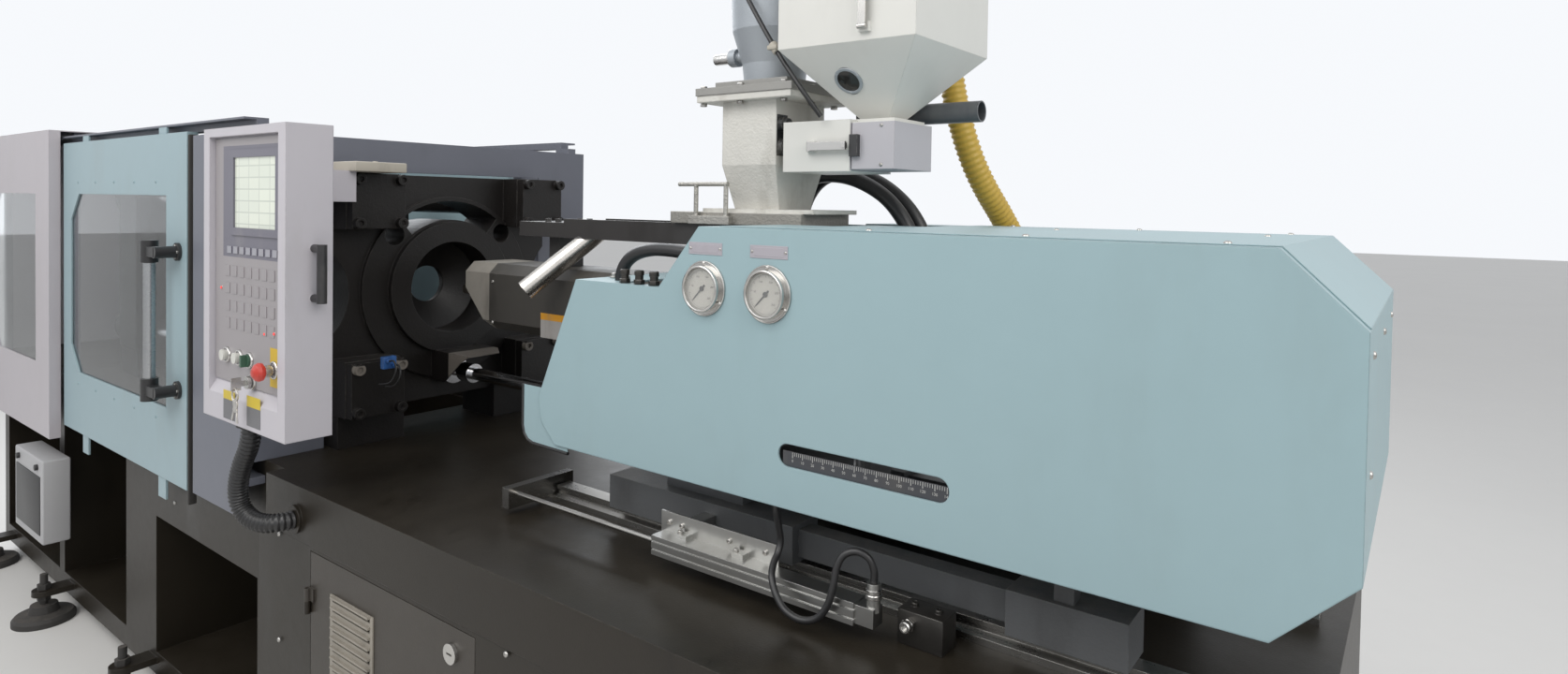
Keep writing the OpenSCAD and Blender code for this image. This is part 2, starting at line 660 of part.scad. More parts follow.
// Rear links of one half of the toggle: cheeks, web, knee pin stubs and driven ear
module rear_links(s) translate([tail_pin_x, 0, axis_z + s * pin_z]) rotate([0, s * open_deg, 0])
    mirror([0, 0, s < 0 ? 1 : 0]) both_sides() {
        difference() {
            union() {
                across(inner_y, inner_y + link_t) {
                    bar_outline(link_rear, eye_r, knee_r);
                    rotate(-ear_deg) bar_outline(ear_reach, 34, 30);
                }
                link_bar(link_rear, eye_r, knee_r, outer_y, outer_y + link_t);
                box(54, 84, inner_y + 1, outer_y + link_t - 1, -26, 26);
            }
            rod_y(0, inner_y - 1, outer_y + link_t + 1, 0, pin_r + fit);
        }
        rod_y(link_rear, inner_y - 6, inner_y + 1, 0, 24);
        rod_y(link_rear, outer_y + link_t - 1, outer_y + link_t + 6, 0, 24);
    }

module rear_links_upper() placed("#3b3e41") rear_links(1);

module rear_links_lower() placed("#3b3e41") rear_links(-1);

// Front links of one half of the toggle, from the moving platen's pin to the knee
module front_links(s) translate([front_pin_x, 0, axis_z + s * pin_z])
    rotate([0, s * (180 - front_tilt(open_deg)), 0]) both_sides() difference() {
        link_bar(link_front, eye_r, knee_r, eye_y + 0.3, eye_y + eye_t - 0.3);
        rod_y(0, eye_y, eye_y + eye_t, 0, pin_r + fit);
        rod_y(link_front, eye_y, eye_y + eye_t, 0, 18);
    }

module front_links_upper() placed("#45484b") front_links(1);

module front_links_lower() placed("#45484b") front_links(-1);

// Drive links from the crosshead's pins to the rear links' ears
module drive_links(s) translate([cross_x, 0, axis_z + s * cross_pin_z])
    rotate([0, s * (180 + drive_tilt(open_deg)), 0]) both_sides() difference() {
        link_bar(link_drive, 26, 26, drive_y + 0.3, inner_y - gap - 6);
        rod_y(0, drive_y - 1, inner_y, 0, 14 + fit);
    }

module drive_links_upper() placed("#505356") drive_links(1);

module drive_links_lower() placed("#505356") drive_links(-1);

// Guard outline in X and Z with chamfered left corners
module window_shape(x0, x1, z0, z1, c) polygon([[x0 + c, z0], [x1, z0], [x1, z1], [x0 + c, z1],
    [x0, z1 - c], [x0, z0 + c]]);

guard_win = [-2480, -1870, 945, 1567];
door_win = [-1590, -686, 944, 1569];

// Fixed guard on the operator's side, folded from sheet, with its window opening
module front_guard() placed("#cfcac5") mirror([0, 1, 0]) difference() {
    union() {
        box(tail_end_x, guard_x, guard_y - sheet, guard_y, guard_low, guard_top);
        box(guard_x - sheet, guard_x, door_y + 3, guard_y, guard_low, guard_top);
        box(tail_end_x, guard_x, track_y, guard_y, guard_top - sheet, guard_top);
        box(tail_end_x, guard_x, door_y + 3, guard_y, guard_low, guard_low + sheet);
    }
    across(guard_y - sheet - 1, guard_y + 1)
        window_shape(guard_win[0], guard_win[1], guard_win[2], guard_win[3], 90);
}

module guard_window() placed([0.75, 0.8, 0.85, 0.35]) mirror([0, 1, 0])
    across(guard_y - sheet - 6, guard_y - sheet)
        window_shape(guard_win[0] - 20, guard_win[1] + 20, guard_win[2] - 20, guard_win[3] + 20, 90);

// Guard on the far side: fixed sheet, tail end and top cover over the toggle
module rear_guard() placed("#cfcac5") difference() {
    union() {
        box(tail_end_x, guard_x, guard_y - sheet, guard_y, guard_low, guard_top);
        box(guard_x - sheet, guard_x, door_y + 3, guard_y, guard_low, guard_top);
        box(tail_end_x, guard_x, 2 - track_y, guard_y, guard_top - sheet, guard_top);
        box(tail_end_x, tail_end_x + sheet, 2 - track_y, guard_y, deck_z, guard_top);
        box(tail_end_x, guard_x, door_y + 3, guard_y, guard_low, guard_low + sheet);
    }
    for (x = [-2450 : 60 : -2000]) across(guard_y - sheet - 1, guard_y + 1)
        translate([x, 1500]) square([12, 160]);
}

// End panel round the stationary platen, with its side posts and the door tracks
module end_panel() placed("#5d6673") {
    top = 1737;
    difference() {
        box(end_panel_x - 40, end_panel_x, 2 - door_y, door_y - 2, deck_z, top);
        box(end_panel_x - 41, end_panel_x + 1, -platen_y - 6, platen_y + 6, deck_z - 1, axis_z + platen_z + 8);
        box(end_panel_x - 41, end_panel_x - sheet, 6 - door_y, door_y - 6, deck_z + 6, top - 6);
    }
    both_sides() {
        box(door_x1 + 45, end_panel_x, door_y - sheet, door_y, 735, top);
        box(door_x1 + 45, door_x1 + 45 + sheet, door_y - 36, door_y, 735, top);
        box(door_x1 + 45, end_panel_x, base_y, door_y, deck_z - 60, deck_z - 40);
        // upper track of the sliding door, on its posts
        box(tail_end_x + 10, end_panel_x - 40, track_y, track_y + 30, 1752, 1776);
        box(tail_end_x + 10, end_panel_x - 40, track_y + 29, door_y - 6, lip_z, lip_z + 6);
        box(end_panel_x - 70, end_panel_x - 1, track_y, track_y + 30, 1700, 1753);
        for (x = [tail_end_x + 10, guard_x - 60])
            box(x, x + 30, track_y, base_y, deck_z, guard_top - sheet);
    }
}

// Sliding door on one side: folded sheet with a window opening and roller straps
module door_sheet(window) {
    difference() {
        box(door_x0, door_x1, door_y - door_t, door_y, door_low, door_top);
        box(door_x0 + 6, door_x1 - 6, door_y - door_t - 1, door_y - 5, door_low + 6, door_top - 6);
        if (window) across(door_y - door_t - 1, door_y + 1)
            window_shape(door_win[0], door_win[1], door_win[2], door_win[3], 90);
    }
    for (x = [door_x0 + 200, door_x1 - 230]) {
        box(x, x + 60, door_y - 10, door_y - 4, door_low - 64, door_low + 30);
        box(x, x + 60, door_y - 11, door_y - 5, door_top - 30, lip_z - run);
    }
}

module front_door() placed("#a9c4cc") mirror([0, 1, 0]) door_sheet(true);

module front_door_window() placed([0.72, 0.78, 0.84, 0.35]) mirror([0, 1, 0])
    across(door_y - 11, door_y - 5)
        window_shape(door_win[0] - 25, door_win[1] + 25, door_win[2] - 25, door_win[3] + 25, 90);

handle_z0 = 1010;
handle_z1 = 1408;
// Door handle: two stand-off brackets and a tube between them
module door_handle() placed("#1b1c1e") {
    bar_x = -662;
    out = 62;
    for (z = [handle_z0, handle_z1]) {
        rod_y(-590, -door_y - out, -door_y, z, 17);
        rod_y(-590, -door_y - 8, -door_y, z, 26);
        box(bar_x, -590, -door_y - out - 1, -door_y - out + 28, z - 14, z + 14);
        rod_z(bar_x, -door_y - out + 13, z - 32, z + 32, 22);
    }
    rod_z(bar_x, -door_y - out + 13, handle_z0, handle_z1, 15);
}

module rear_door() placed("#a9c4cc") door_sheet(false);

// Operator panel's housing with its recessed face, support arm and side handle
module hmi_housing() placed("#c3c1ca") {
    difference() {
        box(hmi_x0, hmi_x1, -hmi_y, -hmi_back, hmi_low, hmi_top);
        box(face_x0, face_x1, -hmi_y - 1, -face_y, face_z0, face_z1);
        // lip that slopes back into the recess
        along(face_x0, face_x1) polygon([[-hmi_y - 1, face_z0 - 26], [-hmi_y, face_z0 - 26],
            [-face_y, face_z0 + 1], [-hmi_y - 1, face_z0 + 1]]);
        box(hmi_x0 + 3, hmi_x1 - 3, -face_y + 8, -hmi_back - 3, hmi_low + 3, hmi_top - 3);
        for (c = controls) rod_y(c[0], -face_y - 1, -face_y + 9, c[1], 11 + fit);
    }
    // gland of the hose
    rod_z(hmi_hose_path[0][0], hmi_hose_path[0][1], hmi_hose_path[0][2], hmi_low + 1, 30);
    // arm back to the end panel
    box(hmi_x0 + 20, hmi_x0 + 100, -hmi_back, -platen_y - 20, 1560, 1640);
    box(end_panel_x, hmi_x0 + 100, -platen_y - 60, -platen_y - 20, 1560, 1640);
    // side handle
    for (z = [1356, 1462]) rod_x(hmi_x1 - 1, hmi_x1 + 34, -618, z, 9);
    rod_z(hmi_x1 + 34, -618, 1347, 1471, 10);
}

// Switch and key panel in the recess, with the screen's bezel
module hmi_panel() placed("#8f9096") {
    difference() {
        box(face_x0 + 4, face_x1 - 4, -face_y - 4, -face_y, face_z0 + 4, face_z1 - 4);
        box(screen_x - screen_w / 2, screen_x + screen_w / 2, -face_y - 5, -face_y + 1,
            screen_z - screen_h / 2, screen_z + screen_h / 2);
        for (c = controls) rod_y(c[0], -face_y - 5, -face_y + 1, c[1], 11 + fit);
    }
    // collars of the controls
    for (c = controls) difference() {
        rod_y(c[0], -face_y - 8, -face_y - 4, c[1], 15);
        rod_y(c[0], -face_y - 9, -face_y - 3, c[1], 11 + fit);
    }
    // frame round the screen and the key rows
    difference() {
        box(screen_x - 122, screen_x + 122, -face_y - 8, -face_y - 4, screen_z - 96, screen_z + 96);
        box(screen_x - screen_w / 2, screen_x + screen_w / 2, -face_y - 9, -face_y - 3,
            screen_z - screen_h / 2, screen_z + screen_h / 2);
    }
    for (i = [0 : 7])
        box(72 + 33 * i, 94 + 33 * i, -face_y - 6, -face_y - 4, screen_z - 138, screen_z - 122);
    for (i = [0 : 6], j = [0 : 3])
        box(60 + 38 * i, 84 + 38 * i, -face_y - 5.5, -face_y - 4, keys_z + key_pitch * j, keys_z + key_pitch * (j + 0.6));
}

module hmi_screen() placed("#c9cf8e")
    box(screen_x - screen_w / 2 + 0.3, screen_x + screen_w / 2 - 0.3, -face_y - 4, -face_y,
        screen_z - screen_h / 2 + 0.3, screen_z + screen_h / 2 - 0.3);

// Emergency stop: mushroom head on its collar
module estop_button() placed("#c8281e") translate([estop_x, -face_y - 4, button_z - 6]) rotate([90, 0, 0]) {
    translate([0, 0, -8]) cylinder(h = 30, r = 11);
    rotate_extrude() polygon([[0, 12], [13, 12], [13, 24], [19, 27], [20, 33], [17, estop_out - 4],
        [8, estop_out + 2], [0, estop_out + 3]]);
}

// Key switch with its key
module key_switch() placed("#b9bbbd") translate([205, -face_y - 4, button_z - 46]) rotate([90, 0, 0]) {
    translate([0, 0, -6]) cylinder(h = 16, r = 11);
    translate([0, 0, 8]) cylinder(h = 6, r = 14);
    translate([-1.2, -6, 13]) cube([2.4, 12, 16]);
    translate([-1.2, -14, 24]) cube([2.4, 28, 20]);
}

// Selector with its raised grip
module selector_knob() placed("#2f9a58") translate([190, -face_y - 4, button_z]) rotate([90, 0, 0]) {
    translate([0, 0, -6]) cylinder(h = 12, r = 11);
    translate([0, 0, 5]) cylinder(h = 4, r = 14);
    translate([-4, -13, 8]) cube([8, 26, 12]);
}

module round_button(x, c) placed(c) translate([x, -face_y - 4, button_z]) rotate([90, 0, 0]) {
    translate([0, 0, -6]) cylinder(h = 16, r = 11);
    translate([0, 0, 9]) cylinder(h = 5, r = 12.5);
}

module start_button() round_button(71, "#e6e6e6");

module stop_button() round_button(137, "#e6e6e6");

module hmi_hose() placed("#151517") tube_along(hmi_hose_path, 22, 10);

// Guide rails on their seats, with the stroke sensor's anchor and rod
module guide_rails() placed("#a5a39a") {
    both_sides() {
        along(rail_x0, rail_x1) translate([rail_y, deck_z]) polygon([[-22, 0], [22, 0], [22, 12], [12, 20],
            [12, 26], [18, 30], [18, rail_h], [-18, rail_h], [-18, 30], [-12, 26], [-12, 20], [-22, 12]]);
        box(rail_x0 - 34, rail_x0, rail_y - 34, rail_y + 34, deck_z, deck_z + 14);
    }
    box(rail_x0 - 30, rail_x0 - 8, -probe_y, 34 - rail_y, deck_z + 13, deck_z + 58);
    rod_x(rail_x0 - 9, probe_x0 + 60, probe_s / 2 - probe_y, probe_z + probe_s / 2, 5);
}

// Piston rod of the carriage cylinder, held in the stationary platen
module carriage_rod() placed("#b7babd") {
    rod_x(-boss_t, 1100, 0, pull_z, pull_r);
    rod_x(-boss_t, -60, 0, pull_z, 42);
    rod_x(-10, 40, 0, pull_z, 28);
    rod_x(1100, 1130, 0, pull_z, 29.7);
}

// Injection seat: feed housing, saddle, shoes and carriage cylinder
module injection_seat() placed("#34383b") difference() {
    union() {
        box(seat_x0, seat_x1, -seat_y, seat_y, 1200, 1395);
        rod_z(throat_x, 0, 1394, slide_z, 58);
        both_sides() {
            box(seat_x0 - 140, seat_x1 + 140, rail_y - 40, rail_y + 40, deck_z + rail_h + 0.3, deck_z + rail_h + 70);
            box(seat_x0, seat_x1, rail_y - 30, rail_y + 10, deck_z + rail_h + 60, 1201);
            box(1780, 1960, rail_y - 40, rail_y + 40, deck_z + rail_h + 0.3, deck_z + rail_h + 70);
            box(seat_x1 + 139, 1781, rail_y - 20, rail_y + 20, deck_z + rail_h + 10, deck_z + rail_h + 60);
        }
        rod_x(790, 1420, 0, pull_z, 44);
        box(seat_x0, seat_x1, -rail_y + 20, rail_y - 20, pull_z - 20, pull_z + 20);
        // arms that carry the cover
        both_sides() {
            box(seat_x0 + 60, seat_x0 + 90, seat_y - 1, cover_y - sheet, 1200, 1240);
            box(1850, 1880, rail_y, rail_y + 30, deck_z + rail_h + 69, 1110);
            box(1850, 1880, rail_y, cover_y - sheet, 1080, 1110);
        }
    }
    rod_x(seat_x0 - 1, seat_x1 + 1, 0, axis_z, barrel_r + fit);
    rod_z(throat_x, 0, axis_z, slide_z + 1, 25);
    rod_x(789, 831, 0, pull_z, pull_r + fit);
    rod_x(830, 1400, 0, pull_z, 30);
}

// Barrel with its nozzle and heater bands
module barrel() placed("#8d8a86") difference() {
    union() {
        translate([0, 0, axis_z]) rotate([0, 90, 0]) rotate_extrude() polygon([[0, nozzle_x], [8, nozzle_x],
            [16, nozzle_x + 10], [16, 50], [24, 55], [24, 88], [44, 92], [44, 128], [barrel_r, 132],
            [barrel_r, barrel_end], [0, barrel_end]]);
        for (i = [0 : 5]) {
            x = 190 + 136 * i;
            rod_x(x, x + 112, 0, axis_z, barrel_r + 10);
            box(x + 40, x + 72, -12, 12, axis_z + barrel_r + 5, axis_z + barrel_r + 24);
        }
    }
    rod_x(nozzle_x - 1, 131, 0, axis_z, 4);
    rod_x(130, barrel_end + 1, 0, axis_z, screw_r + 0.5);
    rod_z(throat_x, 0, axis_z, axis_z + barrel_r + 1, 24);
}

// Barrel shroud: chamfered section, dark body and a raked nose
module shroud_section(inset) translate([0, axis_z]) {
    h = shroud_y - inset;
    c = 26;
    polygon([[-h, c - h], [c - h, -h], [h - c, -h], [h, c - h], [h, h - c], [h - c, h], [c - h, h], [-h, h - c]]);
}

module barrel_cover() placed("#2a2829") difference() {
    along(130, seat_x0) shroud_section(0);
    along(129, seat_x0 + 1) shroud_section(sheet);
    // raked front of the nose
    across(-shroud_y - 1, shroud_y + 1) polygon([[129, axis_z + 20], [shroud_x, axis_z - shroud_y - 1],
        [129, axis_z - shroud_y - 1]]);
    box(110, 128, -shroud_y, shroud_y, axis_z - shroud_y, axis_z);
}

// Two injection cylinders beside the barrel's seat
module injection_cylinders() placed("#2c2f31") both_sides() difference() {
    union() {
        rod_x(seat_x1, seat_x1 + 280, shot_y, axis_z, 48);
        rod_x(seat_x1, seat_x1 + 24, shot_y, axis_z, 62);
        rod_x(seat_x1 + 252, seat_x1 + 286, shot_y, axis_z, 58);
        box(1395, 1445, 125, 216, axis_z + 25, axis_z + 66);
    }
    rod_x(seat_x1 + 250, seat_x1 + 287, shot_y, axis_z, 20 + fit);
    rod_x(seat_x1 + 20, seat_x1 + 251, shot_y, axis_z, 32);
}

// Side view of the injection cover, set in by d
function cover_points(d) = [
    [cover_x0 + 55, cover_low + d], [cover_x1 - cover_chamfer - d * 0.4, cover_low + d],
    [cover_x1 - d, cover_low + cover_chamfer + d * 0.4], [cover_x1 - d, cover_top - cover_chamfer - d * 0.4],
    [cover_x1 - cover_chamfer - d * 0.4, cover_top - d], [cover_x0 + 449 + d * 0.4, cover_top - d],
    [cover_x0 + 350 + d * 0.4, ledge_z - d], [cover_x0 + 117 + d, ledge_z - d],
    [cover_x0 + d, cover_low + 90], [cover_x0 + 12 + d, cover_low + 40]];

// Injection cover: two side sheets joined by ledge, slope, top and end
module injection_cover() placed("#a4bfc8") difference() {
    across(-cover_y, cover_y) polygon(cover_points(0));
    across(-cover_y + sheet, cover_y - sheet) polygon(cover_points(sheet));
    // open underside and nose
    box(cover_x0 + 40, cover_x1 - cover_chamfer, sheet - cover_y, cover_y - sheet, cover_low - 1, cover_low + 20);
    box(cover_x0 - 1, cover_x0 + 120, sheet - cover_y, cover_y - sheet, cover_low - 1, ledge_z - 8);
    // open slope, the way through for throat and slide plate, and the hoses' cut-out
    box(cover_x0 + 226, cover_x0 + 449, 28 - cover_y, cover_y - 28, ledge_z - 40, cover_top + 1);
    box(seat_x0 + 20, slide_x1 + 30, -slide_y - 35, slide_y + 35, ledge_z - 40, cover_top + 1);
    box(cover_x0 + 440, 1460, 120, 228, cover_top - 20, cover_top + 1);
    for (x = gauge_xs) rod_y(x, -cover_y - 1, 1 - cover_y + sheet, gauge_z, 36);
    across(-cover_y - 1, 1 - cover_y + sheet) hull() {
        translate([slot_x0 + slot_r, slot_z]) circle(slot_r, $fn = 32);
        translate([slot_x1 - slot_r, slot_z]) circle(slot_r, $fn = 32);
    }
    rod_z(ledge_hose[5][0], ledge_hose[5][1], ledge_z - 20, ledge_z + 1, 13.6);
}

// Two pressure gauges with flanges, bezels and dials
module gauges() placed("#c9c6be") for (x = gauge_xs) translate([x, -cover_y, gauge_z]) rotate([90, 0, 0])
    difference() {
        union() {
            translate([0, 0, -40]) cylinder(h = 41, r = 34);
            cylinder(h = 3, r = gauge_r);
            cylinder(h = 14, r = gauge_r - 8);
        }
        translate([0, 0, 6]) cylinder(h = 9, r = gauge_r - 12);
    }

module needle(x) placed("#111111") translate([x, -cover_y, gauge_z]) rotate([90, 0, 0])
    translate([0, 0, 6.4]) rotate([0, 0, 225]) {
        cylinder(h = 2, r = 4.5);
        linear_extrude(1.2) polygon([[-9, -1.6], [-9, 1.6], [26, 0.9], [31, 0], [26, -0.9]]);
    }

module needle_a() needle(gauge_xs[0]);

module needle_b() needle(gauge_xs[1]);

// Stroke sensor: grooved profile on its plate, with the connector
module transducer() placed("#b3b5b7") {
    difference() {
        box(probe_x0, probe_x1, -probe_y, probe_s - probe_y, probe_z, probe_z + probe_s);
        for (z = [9, 24]) box(probe_x0 - 1, probe_x1 + 1, -probe_y - 1, 3 - probe_y, probe_z + z, probe_z + z + 3);
        rod_x(probe_x0 - 1, probe_x1 - 40, probe_s / 2 - probe_y, probe_z + probe_s / 2, 6);
    }
    box(probe_x0 - 9, probe_x0 + 271, probe_s - probe_y, probe_s - probe_y + 4, probe_z + 4, probe_z + 72);
    for (x = [probe_x0 + 45, probe_x0 + 180])
        box(x, x + 26, probe_s - probe_y - 18, probe_s - probe_y + 1, probe_z + probe_s, probe_z + probe_s + 8);
    box(probe_x1, probe_x1 + 34, 4 - probe_y, probe_s - probe_y - 4, probe_z + 3, probe_z + probe_s - 3);
    rod_z(1600, -330, probe_z + 25, probe_z + 70, 11);
    box(probe_x0 + 40, probe_x0 + 70, probe_s - probe_y + 3, -rail_y - 40, probe_z + 20, probe_z + 60);
}

module transducer_cable() placed("#131314") tube_along(probe_cable_path, 6);

// Slide plate for the hopper, with the stainless drain tube at its front
module slide_plate() placed("#3d4442") {
    difference() {
        union() {
            box(slide_x0, slide_x1, -slide_y, slide_y, slide_z, slide_top);
            drain_tube(25);
            box(430, 470, -40, 40, axis_z + shroud_y, slide_z + 1);
        }
        rod_z(throat_x, 0, slide_z - 1, slide_top + 1, 25);
        rod_z(620, 0, slide_z - 1, slide_top + 1, 22);
        drain_tube(22.5);
        box(slide_x0 - 100, slide_x1, -slide_y - 200, slide_y + 200, slide_top, slide_top + 60);
    }
    for (x = [slide_x0 + 90, slide_x0 + 130], s = [-1, 1])
        translate([x, s * 52, slide_top]) cylinder(h = 9, r = 8, $fn = 6);
    both_sides() box(slide_x0 + 180, slide_x1, slide_y - 12, slide_y, slide_top, slide_top + 10);
}

drain_top = [606, -30, 1492];
drain_low = [510, -176, 1350];
module drain_tube(r) {
    d = drain_low - drain_top;
    l = norm(d);
    translate(drain_top) rotate([0, acos(d[2] / l), atan2(d[1], d[0])]) cylinder(h = l, r = r);
}

// Thrust plate with its piston rods, bearing bore, motor and scale pointer
module thrust_plate() placed("#3a3e41") {
    difference() {
        box(thrust_x, thrust_x + thrust_t, -shot_y - 60, shot_y + 60, axis_z - 90, axis_z + 90);
        rod_x(thrust_x - 1, thrust_x + thrust_t + 1, 0, axis_z, 25 + fit);
    }
    both_sides() {
        rod_x(seat_x1 + 40, thrust_x + 1, shot_y, axis_z, 20);
        rod_x(seat_x1 + 40, seat_x1 + 64, shot_y, axis_z, 31.7);
    }
    // hydraulic motor that turns the screw
    difference() {
        back = thrust_x + thrust_t;
        union() {
            rod_x(back - 1, back + 30, 0, axis_z, 88);
            rod_x(back + 30, back + motor_l - 40, 0, axis_z, 74);
            rod_x(back + motor_l - 40, back + motor_l, 0, axis_z, 82);
            for (s = [-1, 1]) rod_z(back + 90, s * 34, axis_z + 60, axis_z + 104, 18);
        }
        rod_x(back - 2, back + 1, 0, axis_z, 25 + fit);
    }
    // pointer behind the scale slot
    box(thrust_x, thrust_x + 12, 12 - cover_y, -shot_y - 50, axis_z - 90, axis_z - 70);
    box(thrust_x, thrust_x + 12, 12 - cover_y, 24 - cover_y, slot_z - 8, axis_z - 70);
    box(thrust_x + 4, thrust_x + 7, 6 - cover_y, 13 - cover_y, slot_z - 6, slot_z + 16);
}

// Screw: core, helical flight, check ring and drive shaft
module screw() placed("#9a9c9e") {
    tip = 150;
    flights = seat_x1 - 75 - 220;
    translate([0, 0, axis_z]) rotate([0, 90, 0]) rotate_extrude() polygon([[0, tip], [6, tip + 4], [14, 185],
        [20, 190], [20, 215], [16, 220], [14, 225], [14, seat_x1 - 75], [screw_r, seat_x1 - 65],
        [screw_r, barrel_end + 4], [25, barrel_end + 8], [25, thrust_x + thrust_t - 2], [0, thrust_x + thrust_t - 2]]);
    translate([220, 0, axis_z]) rotate([0, 90, 0])
        linear_extrude(flights, twist = -360 * flights / screw_pitch, slices = round(flights / screw_pitch * 6), $fn = 4)
            translate([0, -3]) square([screw_r, 6]);
}

// Power pack in the bed: oil tank with motor and pump on it, and the valve block
module power_pack() placed("#2f4a5c") {
    floor_z = base_z + wall;
    tank = [1300, 2080, 0, 440];
    tank_top = floor_z + 330;
    difference() {
        box(tank[0], tank[1], tank[2], tank[3], floor_z, tank_top);
        box(tank[0] + 6, tank[1] - 6, tank[2] + 6, tank[3] - 6, floor_z + 6, tank_top - 8);
        rod_z(tank[0] + 90, tank[3] - 90, tank_top - 9, tank_top + 1, 40);
    }
    rod_x(1400, 1740, 220, tank_top + 170, 125);
    rod_x(1740, 1800, 220, tank_top + 170, 90);
    rod_x(1800, 1960, 220, tank_top + 170, 62);
    box(1440, 1700, 130, 310, tank_top - 1, tank_top + 80);
    box(950, 1180, 60, 260, floor_z, floor_z + 320);
    for (x = [990, 1065, 1140]) rod_y(x, 0, 61, floor_z + 250, 24);
}

// Control rack: back plate with its modules and wire ducts
module control_rack() placed("#b9bdbf") {
    back = room_y - wall;
    box(panel_x0 + 25, panel_x1 - 25, back - 20, back, panel_z0 + 25, panel_z1 - 40);
    for (i = [0 : 3]) box(panel_x0 + 50 + 140 * i, panel_x0 + 160 + 140 * i, back - 170, back - 19, 520, 660);
    for (i = [0 : 7]) box(panel_x0 + 50 + 66 * i, panel_x0 + 102 + 66 * i, back - 110, back - 19, 360, 450);
    box(panel_x0 + 60, panel_x0 + 330, back - 200, back - 19, 180, 310);
    box(panel_x0 + 380, panel_x0 + 560, back - 150, back - 19, 180, 300);
    for (z = [326, 480]) box(panel_x0 + 40, panel_x1 - 40, back - 70, back - 19, z, z + 20);
}

// Feed throat on its sliding base, with the bent-rod handle
module throat() placed("#e7e5df") {
    base_x0 = 885;
    difference() {
        union() {
            box(base_x0 + 30, 1275, -88, 88, slide_top + 10.2, throat_z - 8);
            box(throat_x - 70, throat_x + 90, -62, 62, slide_top + 0.2, slide_top + 11);
            box(1005, 1300, -80, 80, throat_z - 9, throat_z);
            throat_body(0);
            box(throat_x - 125, throat_x + 125, -110, 110, throat_top - 14, throat_top);
        }
        throat_body(8);
        rod_z(throat_x, 0, slide_top - 1, throat_z + 60, 25);
        box(throat_x - 60, throat_x + 60, -72, 72, throat_top - 30, throat_top + 1);
    }
    slide_handle();
    // pneumatic couplings on the throat's rear face
    for (z = [1690, 1735]) {
        rod_x(throat_x + 71, throat_x + 82, -66, z, 15);
        rod_x(throat_x + 80, throat_x + 90, -66, z, 12);
    }
}

// Throat's shell: straight above, tapered below; inset gives the passage
module throat_body(inset) {
    top = throat_top - 10 + inset;
    mid = 1652;
    half = [[60, 55], [72, 86]];
    h0 = half[0] - [inset, inset];
    h1 = half[1] - [inset, inset];
    translate([throat_x, 0, 0]) polyhedron(
        [[-h0[0], -h0[1], throat_z - 1], [h0[0], -h0[1], throat_z - 1], [h0[0], h0[1], throat_z - 1], [-h0[0], h0[1], throat_z - 1],
         [-h1[0], -h1[1], mid], [h1[0], -h1[1], mid], [h1[0], h1[1], mid], [-h1[0], h1[1], mid],
         [-h1[0], -h1[1], top], [h1[0], -h1[1], top], [h1[0], h1[1], top], [-h1[0], h1[1], top]],
        [[0, 1, 2, 3], [11, 10, 9, 8], [4, 5, 1, 0], [5, 6, 2, 1], [6, 7, 3, 2], [7, 4, 0, 3],
         [8, 9, 5, 4], [9, 10, 6, 5], [10, 11, 7, 6], [11, 8, 4, 7]]);
}

// Handle bent from round bar, bolted to the sliding base
module slide_handle() {
    z0 = slide_top + 16;
    box(985, 1100, -106, -88, slide_top + 10, slide_top + 28);
    for (x = [1000, 1085]) rod_z(x, -97, z0, 1612, 5);
    rod_x(950, 1090, -97, 1612, 5);
}

// Cast adaptor above the throat, with its clamp-bolted flange and side handle
module feed_adaptor() placed("#b4b6ba") {
    z0 = throat_top;
    difference() {
        union() {
            box(throat_x - 128, throat_x + 128, -112, 112, z0, z0 + 16);
            box(throat_x - 96, throat_x + 96, -84, 84, z0 + 16, z0 + 30);
            translate([throat_x, 0, z0 + 29]) rotate_extrude() polygon([[0, 0], [66, 0], [70, 40],
                [92, 110], [96, 190], [96, 240], [112, 244], [112, 262], [0, 262]]);
            rod_x(throat_x - 150, throat_x, -20, z0 + 92, 12);
            rod_x(throat_x - 104, throat_x - 84, -20, z0 + 92, 20);
        }
        rod_z(throat_x, 0, z0 - 1, z0 + 300, 52);
    }
}

// Dosing unit: body beside the throat with its motor housing
module doser_body() placed("#e4e3de") {
    x0 = throat_x + 92;
    difference() {
        union() {
            box(throat_x + 72, x0 + 1, -44, 60, 1660, 1724);
            box(x0, hopper_x - 21, -88, 70, 1636, 1736);
            rod_x(hopper_x - 108, hopper_x + 167, 92, 1758, 21);
            box(hopper_x - 78, hopper_x - 48, 60, 100, 1734, 1745);
            box(hopper_x - 19, hopper_x + 74, -84, 64, 1640, 1730);
            box(hopper_x - 22, hopper_x - 18, -80, 60, 1646, 1724);
        }
        // passage under the hopper's outlet
        rod_z(hopper_x, 0, 1700, hopper_out, 22);
        rod_x(hopper_x - 109, hopper_x + 168, 92, 1758, 18);
    }
    box(hopper_x - 118, hopper_x - 98, -96, -87, 1674, 1696);
    box(hopper_x - 18, hopper_x, -96, -83, 1664, 1706);
    difference() {
        box(hopper_x - 60, hopper_x + 60, -60, 60, 1729, hopper_out);
        rod_z(hopper_x, 0, 1728, hopper_out + 1, 22);
    }
}

// Draw latch on the dosing unit
module doser_latch() placed("#b9bcbe") {
    rod_z(hopper_x - 108, -101, 1676, 1694, 4.7);
    box(hopper_x - 108, hopper_x - 22, -104, -99, 1677, 1693);
    box(hopper_x - 30, hopper_x - 20, -108, -99, 1680, 1690);
}

